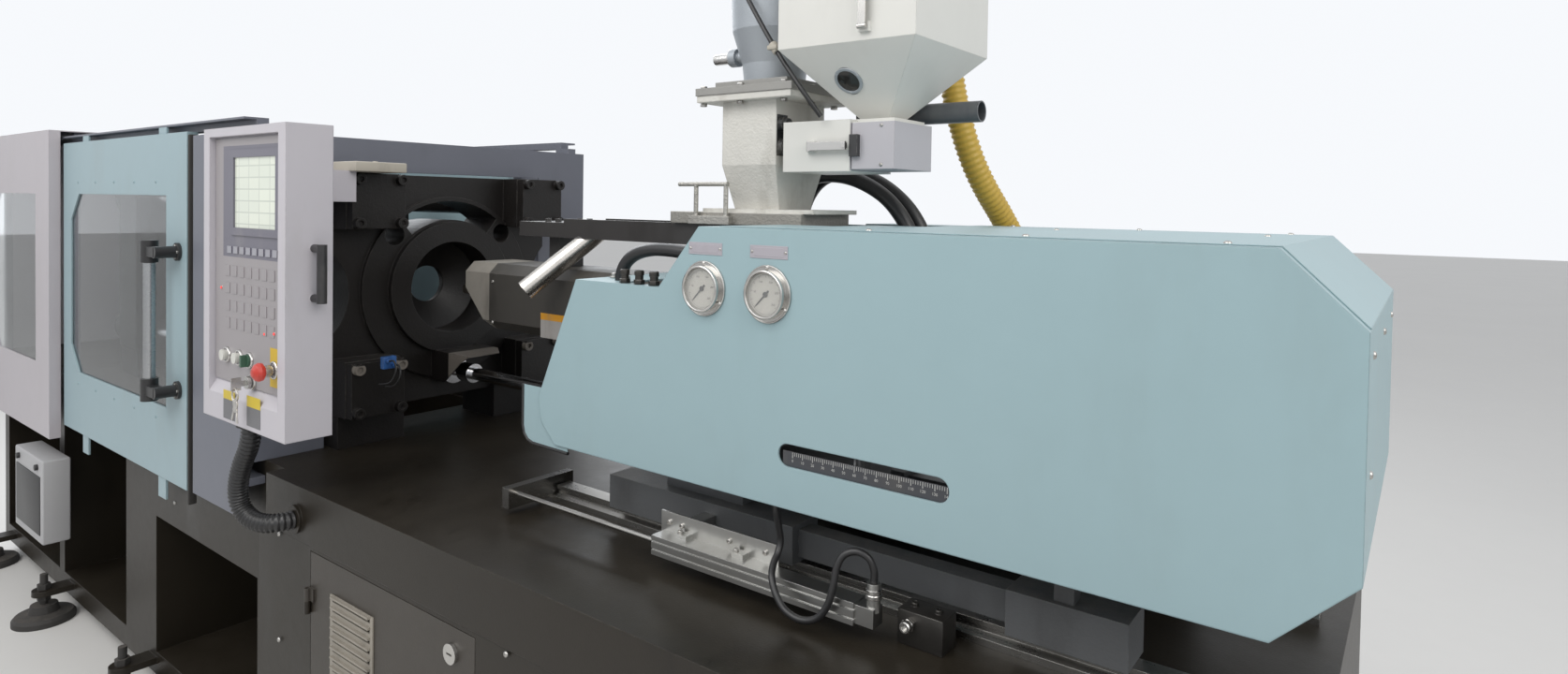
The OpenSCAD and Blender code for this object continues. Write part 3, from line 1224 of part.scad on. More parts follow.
// Pyramid hopper with a sight hole
module doser_hopper() placed("#e6e6e2") {
    difference() {
        hopper_shell(0);
        hopper_shell(5);
        // sight hole in the tapered front
        rod_y(hopper_x - 22, -hopper_r, -20, hopper_out + 70, 23);
        rod_y(hopper_x, 100, hopper_r + 1, spigot_z, 24);
    }
    difference() {
        rod_y(hopper_x, hopper_r - 1, hopper_r + 22, spigot_z, 28);
        rod_y(hopper_x, hopper_r - 2, hopper_r + 23, spigot_z, 24);
    }
    box(hopper_x + 37, hopper_x + 59, -hopper_r - 8, -hopper_r + 1, hopper_knee + 14, hopper_knee + 32);
    box(hopper_x + 38, hopper_x + 58, -hopper_r - 8, -hopper_r + 1, hopper_knee + 92, hopper_knee + 106);
}

module hopper_shell(inset) {
    a = 30 - inset;
    b = hopper_r - inset;
    lo = hopper_out - (inset > 0 ? 1 : 0);
    hi = hopper_top + (inset > 0 ? 1 : 0);
    translate([hopper_x, 0, 0]) polyhedron(
        [[-a, -a, lo], [a, -a, lo], [a, a, lo], [-a, a, lo],
         [-b, -b, hopper_knee], [b, -b, hopper_knee], [b, b, hopper_knee], [-b, b, hopper_knee],
         [-b, -b, hi], [b, -b, hi], [b, b, hi], [-b, b, hi]],
        [[0, 1, 2, 3], [11, 10, 9, 8], [4, 5, 1, 0], [5, 6, 2, 1], [6, 7, 3, 2], [7, 4, 0, 3],
         [8, 9, 5, 4], [9, 10, 6, 5], [10, 11, 7, 6], [11, 8, 4, 7]]);
}

// Draw latch on the hopper's front
module hopper_latch() placed("#b9bcbe") {
    rod_x(hopper_x + 39, hopper_x + 57, -hopper_r - 13, hopper_knee + 23, 4.7);
    box(hopper_x + 40, hopper_x + 56, -hopper_r - 16, -hopper_r - 11, hopper_knee + 23, hopper_knee + 104);
}

// Hinged hopper lid with its grip
module hopper_lid() placed("#d9d9d5") {
    difference() {
        box(hopper_x - hopper_r - 6, hopper_x + hopper_r + 6, -hopper_r - 6, hopper_r + 2, hopper_top - 20, hopper_top + 6);
        box(hopper_x - hopper_r - 2, hopper_x + hopper_r + 2, -hopper_r - 2, hopper_r + 3, hopper_top - 21, hopper_top + run);
    }
    rod_x(hopper_x - 60, hopper_x + 60, hopper_r + 8, hopper_top + 6, 6);
    box(hopper_x - 60, hopper_x + 60, hopper_r - 2, hopper_r + 8, hopper_top + 2, hopper_top + 6);
    box(hopper_x - 40, hopper_x + 40, -hopper_r - 24, -hopper_r - 5, hopper_top, hopper_top + 6);
}

module feed_hose() placed("#d8ac2c") tube_along(feed_hose_path, 28, 10);

module hydraulic_hoses() placed("#161616") {
    tube_along(oil_hose_a, 17);
    tube_along(oil_hose_b, 17);
    tube_along(ledge_hose, 13);
}

bed_frame();
levelling_pads();
cabinet_door();
cabinet_lock();
power_pack();
control_rack();
stationary_platen();
tie_bars();
tail_platen();
clamp_cylinder();
moving_platen();
ejector_plate();
crosshead();
rear_links_upper();
rear_links_lower();
front_links_upper();
front_links_lower();
drive_links_upper();
drive_links_lower();
front_guard();
guard_window();
end_panel();
rear_guard();
front_door();
front_door_window();
door_handle();
rear_door();
hmi_housing();
hmi_panel();
hmi_screen();
estop_button();
key_switch();
selector_knob();
start_button();
stop_button();
hmi_hose();
guide_rails();
carriage_rod();
injection_seat();
barrel();
barrel_cover();
injection_cylinders();
injection_cover();
gauges();
needle_a();
needle_b();
transducer();
transducer_cable();
slide_plate();
thrust_plate();
screw();
throat();
feed_adaptor();
doser_body();
doser_latch();
doser_hopper();
hopper_latch();
hopper_lid();
feed_hose();
hydraulic_hoses();
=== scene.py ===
import math

import bmesh
import bpy
from mathutils import Matrix, Vector
from mathutils.geometry import interpolate_bezier


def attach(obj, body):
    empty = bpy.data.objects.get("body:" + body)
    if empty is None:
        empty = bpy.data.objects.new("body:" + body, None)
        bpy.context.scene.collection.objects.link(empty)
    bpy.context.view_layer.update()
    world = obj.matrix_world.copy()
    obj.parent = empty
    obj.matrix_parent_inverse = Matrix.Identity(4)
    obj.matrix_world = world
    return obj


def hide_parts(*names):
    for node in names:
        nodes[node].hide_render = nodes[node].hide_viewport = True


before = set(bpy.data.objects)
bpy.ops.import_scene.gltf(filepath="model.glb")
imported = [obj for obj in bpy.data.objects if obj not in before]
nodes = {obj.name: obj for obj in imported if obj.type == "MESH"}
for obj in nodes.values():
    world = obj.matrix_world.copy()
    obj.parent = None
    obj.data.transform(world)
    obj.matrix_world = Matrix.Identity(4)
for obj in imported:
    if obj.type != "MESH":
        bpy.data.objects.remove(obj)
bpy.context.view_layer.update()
scene = bpy.context.scene
print("packed model loaded")

# Millimetres from the fixed platen's face, the screw's axis and the floor, as a point in the row frame
origin = Vector((0.234, 0.019, 0.0))


def at(x, y, z):
    return Vector((x, y, z)) / 1000 + origin


# The photograph's own view
cameraView = {
    "place": (2.518, -1.474, 1.570),
    "heading": 53.2,  # degrees from the clamp's direction towards the machine
    "downTilt": 1.22,
    "roll": 0.90,
    "lens": 19.92,
    "sensorWidth": 36,
    "shiftY": -0.0726,
    "clip": (0.05, 60),
}


def makeCamera():
    heading, tilt, roll = (math.radians(cameraView[k]) for k in ("heading", "downTilt", "roll"))
    forward = Vector(
        (-math.cos(heading) * math.cos(tilt), math.sin(heading) * math.cos(tilt), -math.sin(tilt))
    )
    right = forward.cross(Vector((0, 0, 1))).normalized()
    up = right.cross(forward)
    across = right * math.cos(roll) + up * math.sin(roll)
    above = up * math.cos(roll) - right * math.sin(roll)
    lens = bpy.data.cameras.new("viewCamera")
    lens.lens = cameraView["lens"]
    lens.sensor_width = cameraView["sensorWidth"]
    lens.shift_y = cameraView["shiftY"]
    lens.clip_start, lens.clip_end = cameraView["clip"]
    camera = bpy.data.objects.new("viewCamera", lens)
    scene.collection.objects.link(camera)
    turn = Matrix((across, above, -forward)).transposed()
    camera.matrix_world = Matrix.Translation(cameraView["place"]) @ turn.to_4x4()
    scene.camera = camera


makeCamera()
print("camera placed")


# A socket takes a value, or a link from another node
def feed(tree, socket, value):
    if isinstance(value, bpy.types.NodeSocket):
        tree.links.new(value, socket)
    elif value is not None:
        socket.default_value = (*value[:3], 1.0) if socket.type == "RGBA" else value


def feedAll(tree, node, **values):
    for label, value in values.items():
        feed(tree, node.inputs[label.replace("_", " ")], value)


def addNode(tree, kind, settings=None, **values):
    node = tree.nodes.new(kind)
    for label, value in (settings or {}).items():
        setattr(node, label, value)
    feedAll(tree, node, **values)
    return node


def addMath(tree, operation, first, second, clamp=False):
    node = addNode(tree, "ShaderNodeMath", {"operation": operation, "use_clamp": clamp})
    feed(tree, node.inputs[0], first)
    feed(tree, node.inputs[1], second)
    return node.outputs[0]


# One value times a factor, added to another
def addScaled(tree, value, factor, other, clamp=False):
    return addMath(tree, "ADD", addMath(tree, "MULTIPLY", value, factor), other, clamp)


# The product of all its factors, held between 0 and 1
def addProduct(tree, first, *others):
    for factor in others:
        first = addMath(tree, "MULTIPLY", first, factor, factor is others[-1])
    return first


def addVectorMath(tree, operation, first, second):
    node = addNode(tree, "ShaderNodeVectorMath", {"operation": operation})
    feed(tree, node.inputs[0], first)
    feed(tree, node.inputs[1], second)
    return node


def mixColour(tree, factor, first, second):
    node = addNode(tree, "ShaderNodeMix", {"data_type": "RGBA"})
    for index, value in ((0, factor), (6, first), (7, second)):
        feed(tree, node.inputs[index], value)
    return node.outputs[2]


def remap(tree, value, low, high):
    settings = {"interpolation_type": "SMOOTHSTEP"}
    return addNode(tree, "ShaderNodeMapRange", settings, Value=value, From_Min=low, From_Max=high).outputs[0]


def noiseIn(tree, vector, scale, detail=3.0, rough=0.5):
    noise = addNode(tree, "ShaderNodeTexNoise", Vector=vector, Scale=scale, Detail=detail, Roughness=rough)
    return noise.outputs["Fac"]


# A new shader group, with the sockets that it is given and the ones that it makes
def socketGroup(name, inputs, outputs):
    group = bpy.data.node_groups.new(name, "ShaderNodeTree")
    for label, kind, value in inputs:
        socket = group.interface.new_socket(label, in_out="INPUT", socket_type="NodeSocket" + kind)
        if value is not None:
            socket.default_value = value
    for label, kind in outputs:
        group.interface.new_socket(label, in_out="OUTPUT", socket_type="NodeSocket" + kind)
    return group, group.nodes.new("NodeGroupInput").outputs, group.nodes.new("NodeGroupOutput").inputs


# Slow drift of a paint's tone over a panel, with finer mottling in it
driftMix = {"fineScale": 11.0, "wideShare": 0.65, "fineShare": 0.35, "swing": 4.0}


def makeToneDrift():
    group, given, made = socketGroup(
        "toneDrift",
        [("Vector", "Vector", None), ("Colour", "Color", None), ("Scale", "Float", 2.0),
         ("Amount", "Float", 0.1)],
        [("Colour", "Color")],
    )
    fineScale = addMath(group, "MULTIPLY", given["Scale"], driftMix["fineScale"])
    wide = noiseIn(group, given["Vector"], given["Scale"], 2.0)
    fine = noiseIn(group, given["Vector"], fineScale, 4.0, 0.6)
    wide = addMath(group, "MULTIPLY", wide, driftMix["wideShare"])
    both = addScaled(group, fine, driftMix["fineShare"], wide)
    swing = addMath(group, "MULTIPLY", given["Amount"], driftMix["swing"])
    value = addScaled(group, addMath(group, "SUBTRACT", both, 0.5), swing, 1.0)
    tint = addNode(group, "ShaderNodeHueSaturation", Value=value, Color=given["Colour"])
    feed(group, made["Colour"], tint.outputs[0])
    return group


# Paint or plating rubbed through along edges, with the edge itself softened
rubMix = {"edge": (0.995, 0.86), "patchScale": 34.0, "patch": (0.42, 0.62)}


def makeEdgeRub():
    group, given, made = socketGroup(
        "edgeRub",
        [("Vector", "Vector", None), ("Colour", "Color", None), ("Rubbed", "Color", None),
         ("Radius", "Float", 0.002), ("Amount", "Float", 0.5)],
        [("Colour", "Color"), ("Normal", "Vector")],
    )
    soft = addNode(group, "ShaderNodeBevel", {"samples": 4}, Radius=given["Radius"]).outputs[0]
    flat = addNode(group, "ShaderNodeNewGeometry").outputs["True Normal"]
    edge = remap(group, addVectorMath(group, "DOT_PRODUCT", soft, flat).outputs["Value"], *rubMix["edge"])
    patch = remap(group, noiseIn(group, given["Vector"], rubMix["patchScale"], 5.0, 0.65), *rubMix["patch"])
    mask = addProduct(group, edge, patch, given["Amount"])
    feed(group, made["Colour"], mixColour(group, mask, given["Colour"], given["Rubbed"]))
    feed(group, made["Normal"], soft)
    return group


# Handled and oily places: broad smears, longer up and down, broken by fine streaks
smearMix = {"stretch": (1.0, 1.0, 0.35), "broad": (0.50, 0.72), "fineScale": 9.0, "least": 0.35}


def makeGreaseSmear():
    group, given, made = socketGroup(
        "greaseSmear",
        [("Vector", "Vector", None), ("Scale", "Float", 5.0), ("Amount", "Float", 0.4)],
        [("Mask", "Float")],
    )
    place = addNode(group, "ShaderNodeMapping", Vector=given["Vector"], Scale=smearMix["stretch"]).outputs[0]
    broad = remap(group, noiseIn(group, place, given["Scale"], 5.0, 0.62), *smearMix["broad"])
    fine = noiseIn(group, place, addMath(group, "MULTIPLY", given["Scale"], smearMix["fineScale"]))
    streaks = addMath(group, "ADD", fine, smearMix["least"])
    feed(group, made["Mask"], addProduct(group, broad, streaks, given["Amount"]))
    return group


# Dust that lies on whatever faces up, as clouds and specks
dustMix = {
    "slope": (0.55, 0.98), "cloudScale": 7.0, "cloud": (0.35, 0.7), "cloudShare": 0.75,
    "speckScale": 260.0, "specks": (0.55, 0.7), "speckShare": 0.3,
}


def makeDustFall():
    group, given, made = socketGroup(
        "dustFall",
        [("Vector", "Vector", None), ("Colour", "Color", None), ("Dust", "Color", None),
         ("Amount", "Float", 0.3)],
        [("Colour", "Color"), ("Mask", "Float")],
    )
    facing = addNode(group, "ShaderNodeNewGeometry").outputs["Normal"]
    up = remap(group, addNode(group, "ShaderNodeSeparateXYZ", Vector=facing).outputs["Z"], *dustMix["slope"])
    cloud = remap(group, noiseIn(group, given["Vector"], dustMix["cloudScale"], 6.0, 0.7), *dustMix["cloud"])
    specks = remap(group, noiseIn(group, given["Vector"], dustMix["speckScale"], 2.0), *dustMix["specks"])
    specks = addMath(group, "MULTIPLY", specks, dustMix["speckShare"])
    mask = addProduct(group, up, addScaled(group, cloud, dustMix["cloudShare"], specks), given["Amount"])
    feed(group, made["Colour"], mixColour(group, mask, given["Colour"], given["Dust"]))
    feed(group, made["Mask"], mask)
    return group


# The skin of a surface as a height: sprayed paint, sand-cast iron or moulded grain, by its scale
skinMix = {"wideScale": 0.13}


def makeSkin():
    group, given, made = socketGroup(
        "surfaceSkin",
        [("Vector", "Vector", None), ("Scale", "Float", 300.0), ("Coarse", "Float", 0.3)],
        [("Height", "Float")],
    )
    wideScale = addMath(group, "MULTIPLY", given["Scale"], skinMix["wideScale"])
    fine = noiseIn(group, given["Vector"], given["Scale"], 3.0, 0.55)
    wide = noiseIn(group, given["Vector"], wideScale, 4.0, 0.6)
    feed(group, made["Height"], addScaled(group, wide, given["Coarse"], fine))
    return group


# Fine lines of turning, grinding or drawing, along the axis that Stretch keeps long
def makeToolLines():
    group, given, made = socketGroup(
        "toolLines",
        [("Vector", "Vector", None), ("Stretch", "Vector", (1.0, 1.0, 1.0)), ("Scale", "Float", 90.0)],
        [("Height", "Float")],
    )
    pulled = addVectorMath(group, "MULTIPLY", given["Vector"], given["Stretch"]).outputs[0]
    feed(group, made["Height"], noiseIn(group, pulled, given["Scale"], 4.0, 0.7))
    return group


# One where a point lies inside a box given by its two corners
def makeBoxMask():
    labels = ("Vector", "Low", "High")
    inputs = [(label, "Vector", None) for label in labels]
    group, given, made = socketGroup("boxMask", inputs, [("Mask", "Float")])
    place, low, high = (
        addNode(group, "ShaderNodeSeparateXYZ", Vector=given[label]).outputs for label in labels
    )
    over = [addMath(group, "GREATER_THAN", place[axis], low[axis]) for axis in "XYZ"]
    under = [addMath(group, "LESS_THAN", place[axis], high[axis]) for axis in "XYZ"]
    feed(group, made["Mask"], addProduct(group, *over, *under))
    return group


boxMask = makeBoxMask()
toneDrift, edgeRub, greaseSmear = makeToneDrift(), makeEdgeRub(), makeGreaseSmear()
dustFall, surfaceSkin, toolLines = makeDustFall(), makeSkin(), makeToolLines()


def placeGroup(tree, group, vector, **values):
    node = tree.nodes.new("ShaderNodeGroup")
    node.node_tree = group
    feedAll(tree, node, Vector=vector, **values)
    return node


def newMaterial(name):
    material = bpy.data.materials.new(name)
    material.use_nodes = True
    tree = material.node_tree
    tree.nodes.clear()
    shader = tree.nodes.new("ShaderNodeBsdfPrincipled")
    addNode(tree, "ShaderNodeOutputMaterial", Surface=shader.outputs[0])
    return material, tree, shader, tree.nodes.new("ShaderNodeTexCoord").outputs["Object"]


# What a finish has where its own look doesn't say otherwise
plainLook = {
    "metal": 0.0, "specular": 0.5, "coat": 0.0, "coatRough": 0.15, "regions": [],
    "drift": 0.05, "driftScale": 1.6,  # tone over a panel
    "skin": 420.0, "coarse": 0.3, "bump": 0.25, "depth": 0.0003, "roughGrain": 0.08,  # height of the surface
    "edge": 0.0015, "rub": 0.0,
    "smear": 0.25, "smearScale": 4.0, "smearShine": -0.2, "grease": (0.03, 0.025, 0.02),
    "dust": 0.0, "dustColour": (0.36, 0.33, 0.29), "dustRough": 0.35,
}


# One finish: tone, rubbed edges, grease and dust over a skin, on a plain shader.
# Its regions are boxes in millimetres where the same node has another colour, roughness or metal.
def makeFinish(name, look):
    look = {**plainLook, "rubbed": look["colour"], **look}
    material, tree, shader, place = newMaterial(name)
    base, rough, metal = look["colour"], look["rough"], look["metal"]
    for region in look["regions"]:
        low, high = at(*region["low"]), at(*region["high"])
        mask = placeGroup(tree, boxMask, place, Low=low, High=high).outputs["Mask"]
        base = mixColour(tree, mask, base, region["colour"])
        if "rough" in region:
            rough = addScaled(tree, mask, region["rough"] - look["rough"], rough)
        if "metal" in region:
            metal = addScaled(tree, mask, region["metal"] - look["metal"], metal)
    tone = placeGroup(tree, toneDrift, place, Colour=base, Scale=look["driftScale"], Amount=look["drift"])
    rub = placeGroup(
        tree, edgeRub, place, Colour=tone.outputs["Colour"], Rubbed=look["rubbed"], Radius=look["edge"],
        Amount=look["rub"],
    ).outputs
    smear = placeGroup(tree, greaseSmear, place, Scale=look["smearScale"], Amount=look["smear"]).outputs["Mask"]
    greasy = mixColour(tree, smear, rub["Colour"], look["grease"])
    dust = placeGroup(
        tree, dustFall, place, Colour=greasy, Dust=look["dustColour"], Amount=look["dust"]
    ).outputs
    if "lines" in look:
        skin = placeGroup(tree, toolLines, place, Stretch=look["lines"], Scale=look["skin"]).outputs["Height"]
    else:
        skin = placeGroup(tree, surfaceSkin, place, Scale=look["skin"], Coarse=look["coarse"]).outputs["Height"]
    rough = addScaled(tree, smear, look["smearShine"], rough)
    rough = addScaled(tree, dust["Mask"], look["dustRough"], rough)
    rough = addScaled(tree, addMath(tree, "SUBTRACT", skin, 0.5), look["roughGrain"], rough, True)
    bump = addNode(
        tree, "ShaderNodeBump", Strength=look["bump"], Distance=look["depth"], Height=skin, Normal=rub["Normal"]
    )
    feedAll(
        tree, shader, Base_Color=dust["Colour"], Metallic=metal, Roughness=rough, Normal=bump.outputs[0],
        Coat_Weight=look["coat"], Coat_Roughness=look["coatRough"], Specular_IOR_Level=look["specular"],
    )
    return material


# A material whose only pattern is a drift of its tone
def newToned(name, look):
    material, tree, shader, place = newMaterial(name)
    tone = placeGroup(
        tree, toneDrift, place, Colour=look["colour"], Scale=look["driftScale"], Amount=look["drift"]
    ).outputs["Colour"]
    feedAll(tree, shader, Base_Color=tone, Roughness=look["rough"])
    return material, tree, shader, place, tone


# Sheet panels
sheetPaint = {"skin": 800.0, "coarse": 0.2, "bump": 0.12, "depth": 0.0002, "edge": 0.0022}
coverBlue = makeFinish("coverBlue", {
    **sheetPaint, "colour": (0.300, 0.424, 0.458), "rough": 0.42, "drift": 0.035, "driftScale": 1.1,
    "skin": 900.0, "coarse": 0.15, "edge": 0.003, "rub": 0.35, "rubbed": (0.20, 0.24, 0.24), "smear": 0.16,
    "grease": (0.20, 0.24, 0.24), "dust": 0.12, "dustColour": (0.46, 0.50, 0.50),
})
doorBlue = makeFinish("doorBlue", {
    **sheetPaint, "colour": (0.292, 0.400, 0.438), "rough": 0.40, "drift": 0.04, "skin": 900.0,
    "coarse": 0.15, "rub": 0.6, "rubbed": (0.17, 0.20, 0.20), "smear": 0.22, "grease": (0.19, 0.23, 0.23),
})
guardGrey = makeFinish("guardGrey", {
    **sheetPaint, "colour": (0.470, 0.444, 0.472), "rough": 0.45, "drift": 0.035, "rub": 0.5,
    "rubbed": (0.26, 0.25, 0.25), "smear": 0.2, "grease": (0.32, 0.30, 0.29),
})
panelBlueGrey = makeFinish("panelBlueGrey", {
    **sheetPaint, "colour": (0.146, 0.155, 0.188), "rough": 0.45, "drift": 0.06, "edge": 0.0025,
    "rub": 0.5, "rubbed": (0.30, 0.30, 0.31), "smear": 0.3, "grease": (0.07, 0.075, 0.085), "coarse": 0.3,
})
housingGrey = makeFinish("housingGrey", {
    **sheetPaint, "colour": (0.510, 0.492, 0.530), "rough": 0.42, "drift": 0.03, "skin": 1000.0,
    "edge": 0.003, "rub": 0.4, "rubbed": (0.30, 0.29, 0.30), "smear": 0.2, "grease": (0.36, 0.34, 0.33),
    "smearScale": 9.0,
    "regions": [
        {"low": (389, -640, 1330), "high": (440, -590, 1490), "colour": (0.020, 0.020, 0.022),
         "rough": 0.34},
        {"low": (60, -670, 1030), "high": (150, -590, 1055.8), "colour": (0.022, 0.022, 0.023),
         "rough": 0.5},
    ],
})
tankBlue = makeFinish("tankBlue", {
    "colour": (0.10, 0.17, 0.25), "rough": 0.5, "drift": 0.08, "skin": 600.0, "edge": 0.002, "rub": 0.5,
    "rubbed": (0.25, 0.26, 0.27), "smear": 0.4, "grease": (0.03, 0.035, 0.04), "dust": 0.5,
})
rackGrey = makeFinish("rackGrey", {
    "colour": (0.42, 0.42, 0.43), "rough": 0.5, "skin": 600.0, "rub": 0.3, "rubbed": (0.6, 0.6, 0.6),
    "smear": 0.15,
})

# Frame and castings
castIron = {
    "colour": (0.01, 0.0085, 0.0078), "rough": 0.42, "specular": 0.35, "driftScale": 3.0, "skin": 160.0,
    "coarse": 1.0, "bump": 0.45, "depth": 0.0012, "edge": 0.003, "rub": 0.6, "smear": 0.6, "dust": 0.3,
    "dustColour": (0.14, 0.13, 0.12),
}
bedBlack = makeFinish("bedBlack", {
    "colour": (0.018, 0.0145, 0.010), "rough": 0.36, "specular": 0.3, "drift": 0.14, "driftScale": 2.2,
    "skin": 260.0, "coarse": 0.9, "bump": 0.3, "depth": 0.0006, "edge": 0.003, "rub": 0.7,
    "rubbed": (0.08, 0.068, 0.055), "smear": 0.7, "smearShine": -0.14, "grease": (0.008, 0.0065, 0.005),
    "dust": 0.16, "dustColour": (0.07, 0.06, 0.046),
    "regions": [
        {"low": (-900, -548, 560), "high": (-70, -520, 884), "colour": (0.032, 0.020, 0.013),
         "rough": 0.34},
    ],
})
platenBlack = makeFinish("platenBlack", {
    **castIron, "drift": 0.16, "rubbed": (0.11, 0.10, 0.09), "smearShine": -0.18,
    "grease": (0.008, 0.007, 0.006),
})
# The fixed platen has a bare, dusty sheet bolted under its nozzle hole
fixedPlatenBlack = makeFinish("fixedPlatenBlack", {
    **castIron, "drift": 0.14, "rubbed": (0.09, 0.08, 0.07), "grease": (0.006, 0.005, 0.0045),
    "dustRough": 0.3, "roughGrain": 0.0,
    "regions": [{"low": (0.5, -2000, 1033), "high": (2000, 2000, 1124), "colour": (0.19, 0.17, 0.148)}],
})
linkSteel = makeFinish("linkSteel", {
    "colour": (0.10, 0.105, 0.11), "rough": 0.38, "metal": 0.6, "drift": 0.1, "skin": 220.0, "coarse": 0.8,
    "bump": 0.3, "depth": 0.0005, "rub": 0.7, "rubbed": (0.45, 0.45, 0.45), "smear": 0.6,
    "grease": (0.02, 0.017, 0.012),
})
padRubber = makeFinish("padRubber", {
    "colour": (0.035, 0.033, 0.031), "rough": 0.7, "drift": 0.1, "skin": 500.0, "bump": 0.4,
    "depth": 0.0004, "edge": 0.002, "dust": 0.6, "dustColour": (0.18, 0.16, 0.14),
})
slideIron = makeFinish("slideIron", {
    "colour": (0.036, 0.034, 0.033), "rough": 0.38, "drift": 0.12, "driftScale": 4.0, "skin": 300.0,
    "coarse": 0.6, "bump": 0.3, "depth": 0.0005, "edge": 0.002, "rub": 0.8, "rubbed": (0.22, 0.21, 0.20),
    "smear": 0.5, "grease": (0.012, 0.010, 0.008), "dust": 0.55, "dustColour": (0.30, 0.29, 0.27),
    "regions": [
        {"low": (480, -220, 1320), "high": (640, 0, 1477.9), "colour": (0.60, 0.57, 0.53), "rough": 0.24,
         "metal": 1.0},
    ],
})
seatGrey = makeFinish("seatGrey", {
    "colour": (0.12, 0.125, 0.13), "rough": 0.45, "drift": 0.1, "skin": 200.0, "coarse": 0.9, "bump": 0.4,
    "depth": 0.0008, "edge": 0.002, "rub": 0.5, "rubbed": (0.36, 0.36, 0.35), "smear": 0.5,
    "grease": (0.025, 0.022, 0.018), "dust": 0.5,
})
shroudBlack = makeFinish("shroudBlack", {
    "colour": (0.055, 0.051, 0.045), "rough": 0.4, "drift": 0.14, "driftScale": 5.0, "skin": 500.0,
    "bump": 0.2, "edge": 0.0018, "rub": 0.8, "rubbed": (0.20, 0.185, 0.165), "smear": 0.5,
    "grease": (0.014, 0.012, 0.010), "dust": 0.6, "dustColour": (0.22, 0.205, 0.18),
    "regions": [
        {"low": (125, -95, 1210), "high": (240, 95, 1400), "colour": (0.27, 0.252, 0.222), "rough": 0.48},
    ],
})

# Bare and plated metal
bareMetal = {"metal": 1.0, "bump": 0.06, "depth": 0.0001, "smearShine": 0.15, "edge": 0.0008}
tieChrome = makeFinish("tieChrome", {
    **bareMetal, "colour": (0.62, 0.62, 0.63), "rough": 0.16, "lines": (0.02, 1.0, 1.0), "skin": 300.0,
    "bump": 0.04, "smear": 0.35, "grease": (0.14, 0.12, 0.09), "edge": 0.0015,
})
railSteel = makeFinish("railSteel", {
    **bareMetal, "colour": (0.40, 0.39, 0.37), "rough": 0.26, "drift": 0.1, "lines": (0.03, 1.0, 1.0),
    "skin": 260.0, "bump": 0.08, "depth": 0.0002, "smear": 0.55, "grease": (0.07, 0.06, 0.045),
    "smearShine": 0.12, "dust": 0.25, "dustColour": (0.20, 0.18, 0.15), "edge": 0.001,
})
barrelSteel = makeFinish("barrelSteel", {
    **bareMetal, "colour": (0.33, 0.29, 0.24), "rough": 0.38, "drift": 0.22, "driftScale": 7.0,
    "lines": (1.0, 0.2, 0.2), "skin": 120.0, "bump": 0.15, "depth": 0.0003, "smear": 0.6,
    "grease": (0.06, 0.045, 0.03), "smearShine": 0.2, "edge": 0.0015,
})
screwSteel = makeFinish("screwSteel", {
    **bareMetal, "colour": (0.55, 0.54, 0.52), "rough": 0.2, "lines": (0.1, 1.0, 1.0), "skin": 200.0,
    "smear": 0.2, "grease": (0.2, 0.18, 0.14), "smearShine": -0.2, "edge": 0.0015,
})
steelDark = makeFinish("steelDark", {
    "colour": (0.17, 0.165, 0.16), "rough": 0.36, "metal": 0.85, "drift": 0.12, "skin": 260.0,
    "coarse": 0.6, "bump": 0.2, "rub": 0.6, "rubbed": (0.45, 0.44, 0.42), "smear": 0.5,
    "grease": (0.04, 0.035, 0.03),
})
latchSteel = makeFinish("latchSteel", {
    **bareMetal, "colour": (0.56, 0.55, 0.53), "rough": 0.24, "drift": 0.06, "lines": (1.0, 1.0, 0.08),
    "skin": 500.0, "smear": 0.3, "grease": (0.2, 0.18, 0.15),
})
sensorAluminium = makeFinish("sensorAluminium", {
    **bareMetal, "colour": (0.50, 0.50, 0.485), "rough": 0.3, "drift": 0.06, "lines": (0.03, 1.0, 1.0),
    "skin": 400.0, "smear": 0.35, "grease": (0.22, 0.20, 0.17), "dust": 0.25,
})
stainless = makeFinish("stainless", {
    **bareMetal, "colour": (0.60, 0.58, 0.55), "rough": 0.3, "drift": 0.08, "lines": (1.0, 1.0, 0.1),
    "skin": 300.0, "bump": 0.08, "depth": 0.0002, "smear": 0.4, "grease": (0.26, 0.23, 0.19),
    "smearShine": 0.12,
})
castAluminium = makeFinish("castAluminium", {
    "colour": (0.38, 0.41, 0.44), "rough": 0.42, "metal": 0.55, "drift": 0.08, "skin": 300.0,
    "coarse": 1.2, "bump": 0.5, "depth": 0.0008, "edge": 0.0025, "rub": 0.4, "rubbed": (0.62, 0.62, 0.60),
    "smear": 0.4, "grease": (0.16, 0.15, 0.14), "dust": 0.35, "dustColour": (0.50, 0.49, 0.46),
    "regions": [
        {"low": (1000, -115, 1799), "high": (1270, 115, 1830.2), "colour": (0.30, 0.295, 0.28),
         "rough": 0.42, "metal": 0.6},
        {"low": (980, -45, 1868), "high": (1034, 5, 1916), "colour": (0.70, 0.69, 0.67), "rough": 0.12,
         "metal": 1.0},
        {"low": (1020, -125, 2072), "high": (1255, 125, 2095), "colour": (0.50, 0.50, 0.50), "rough": 0.3,
         "metal": 0.9},
    ],
})

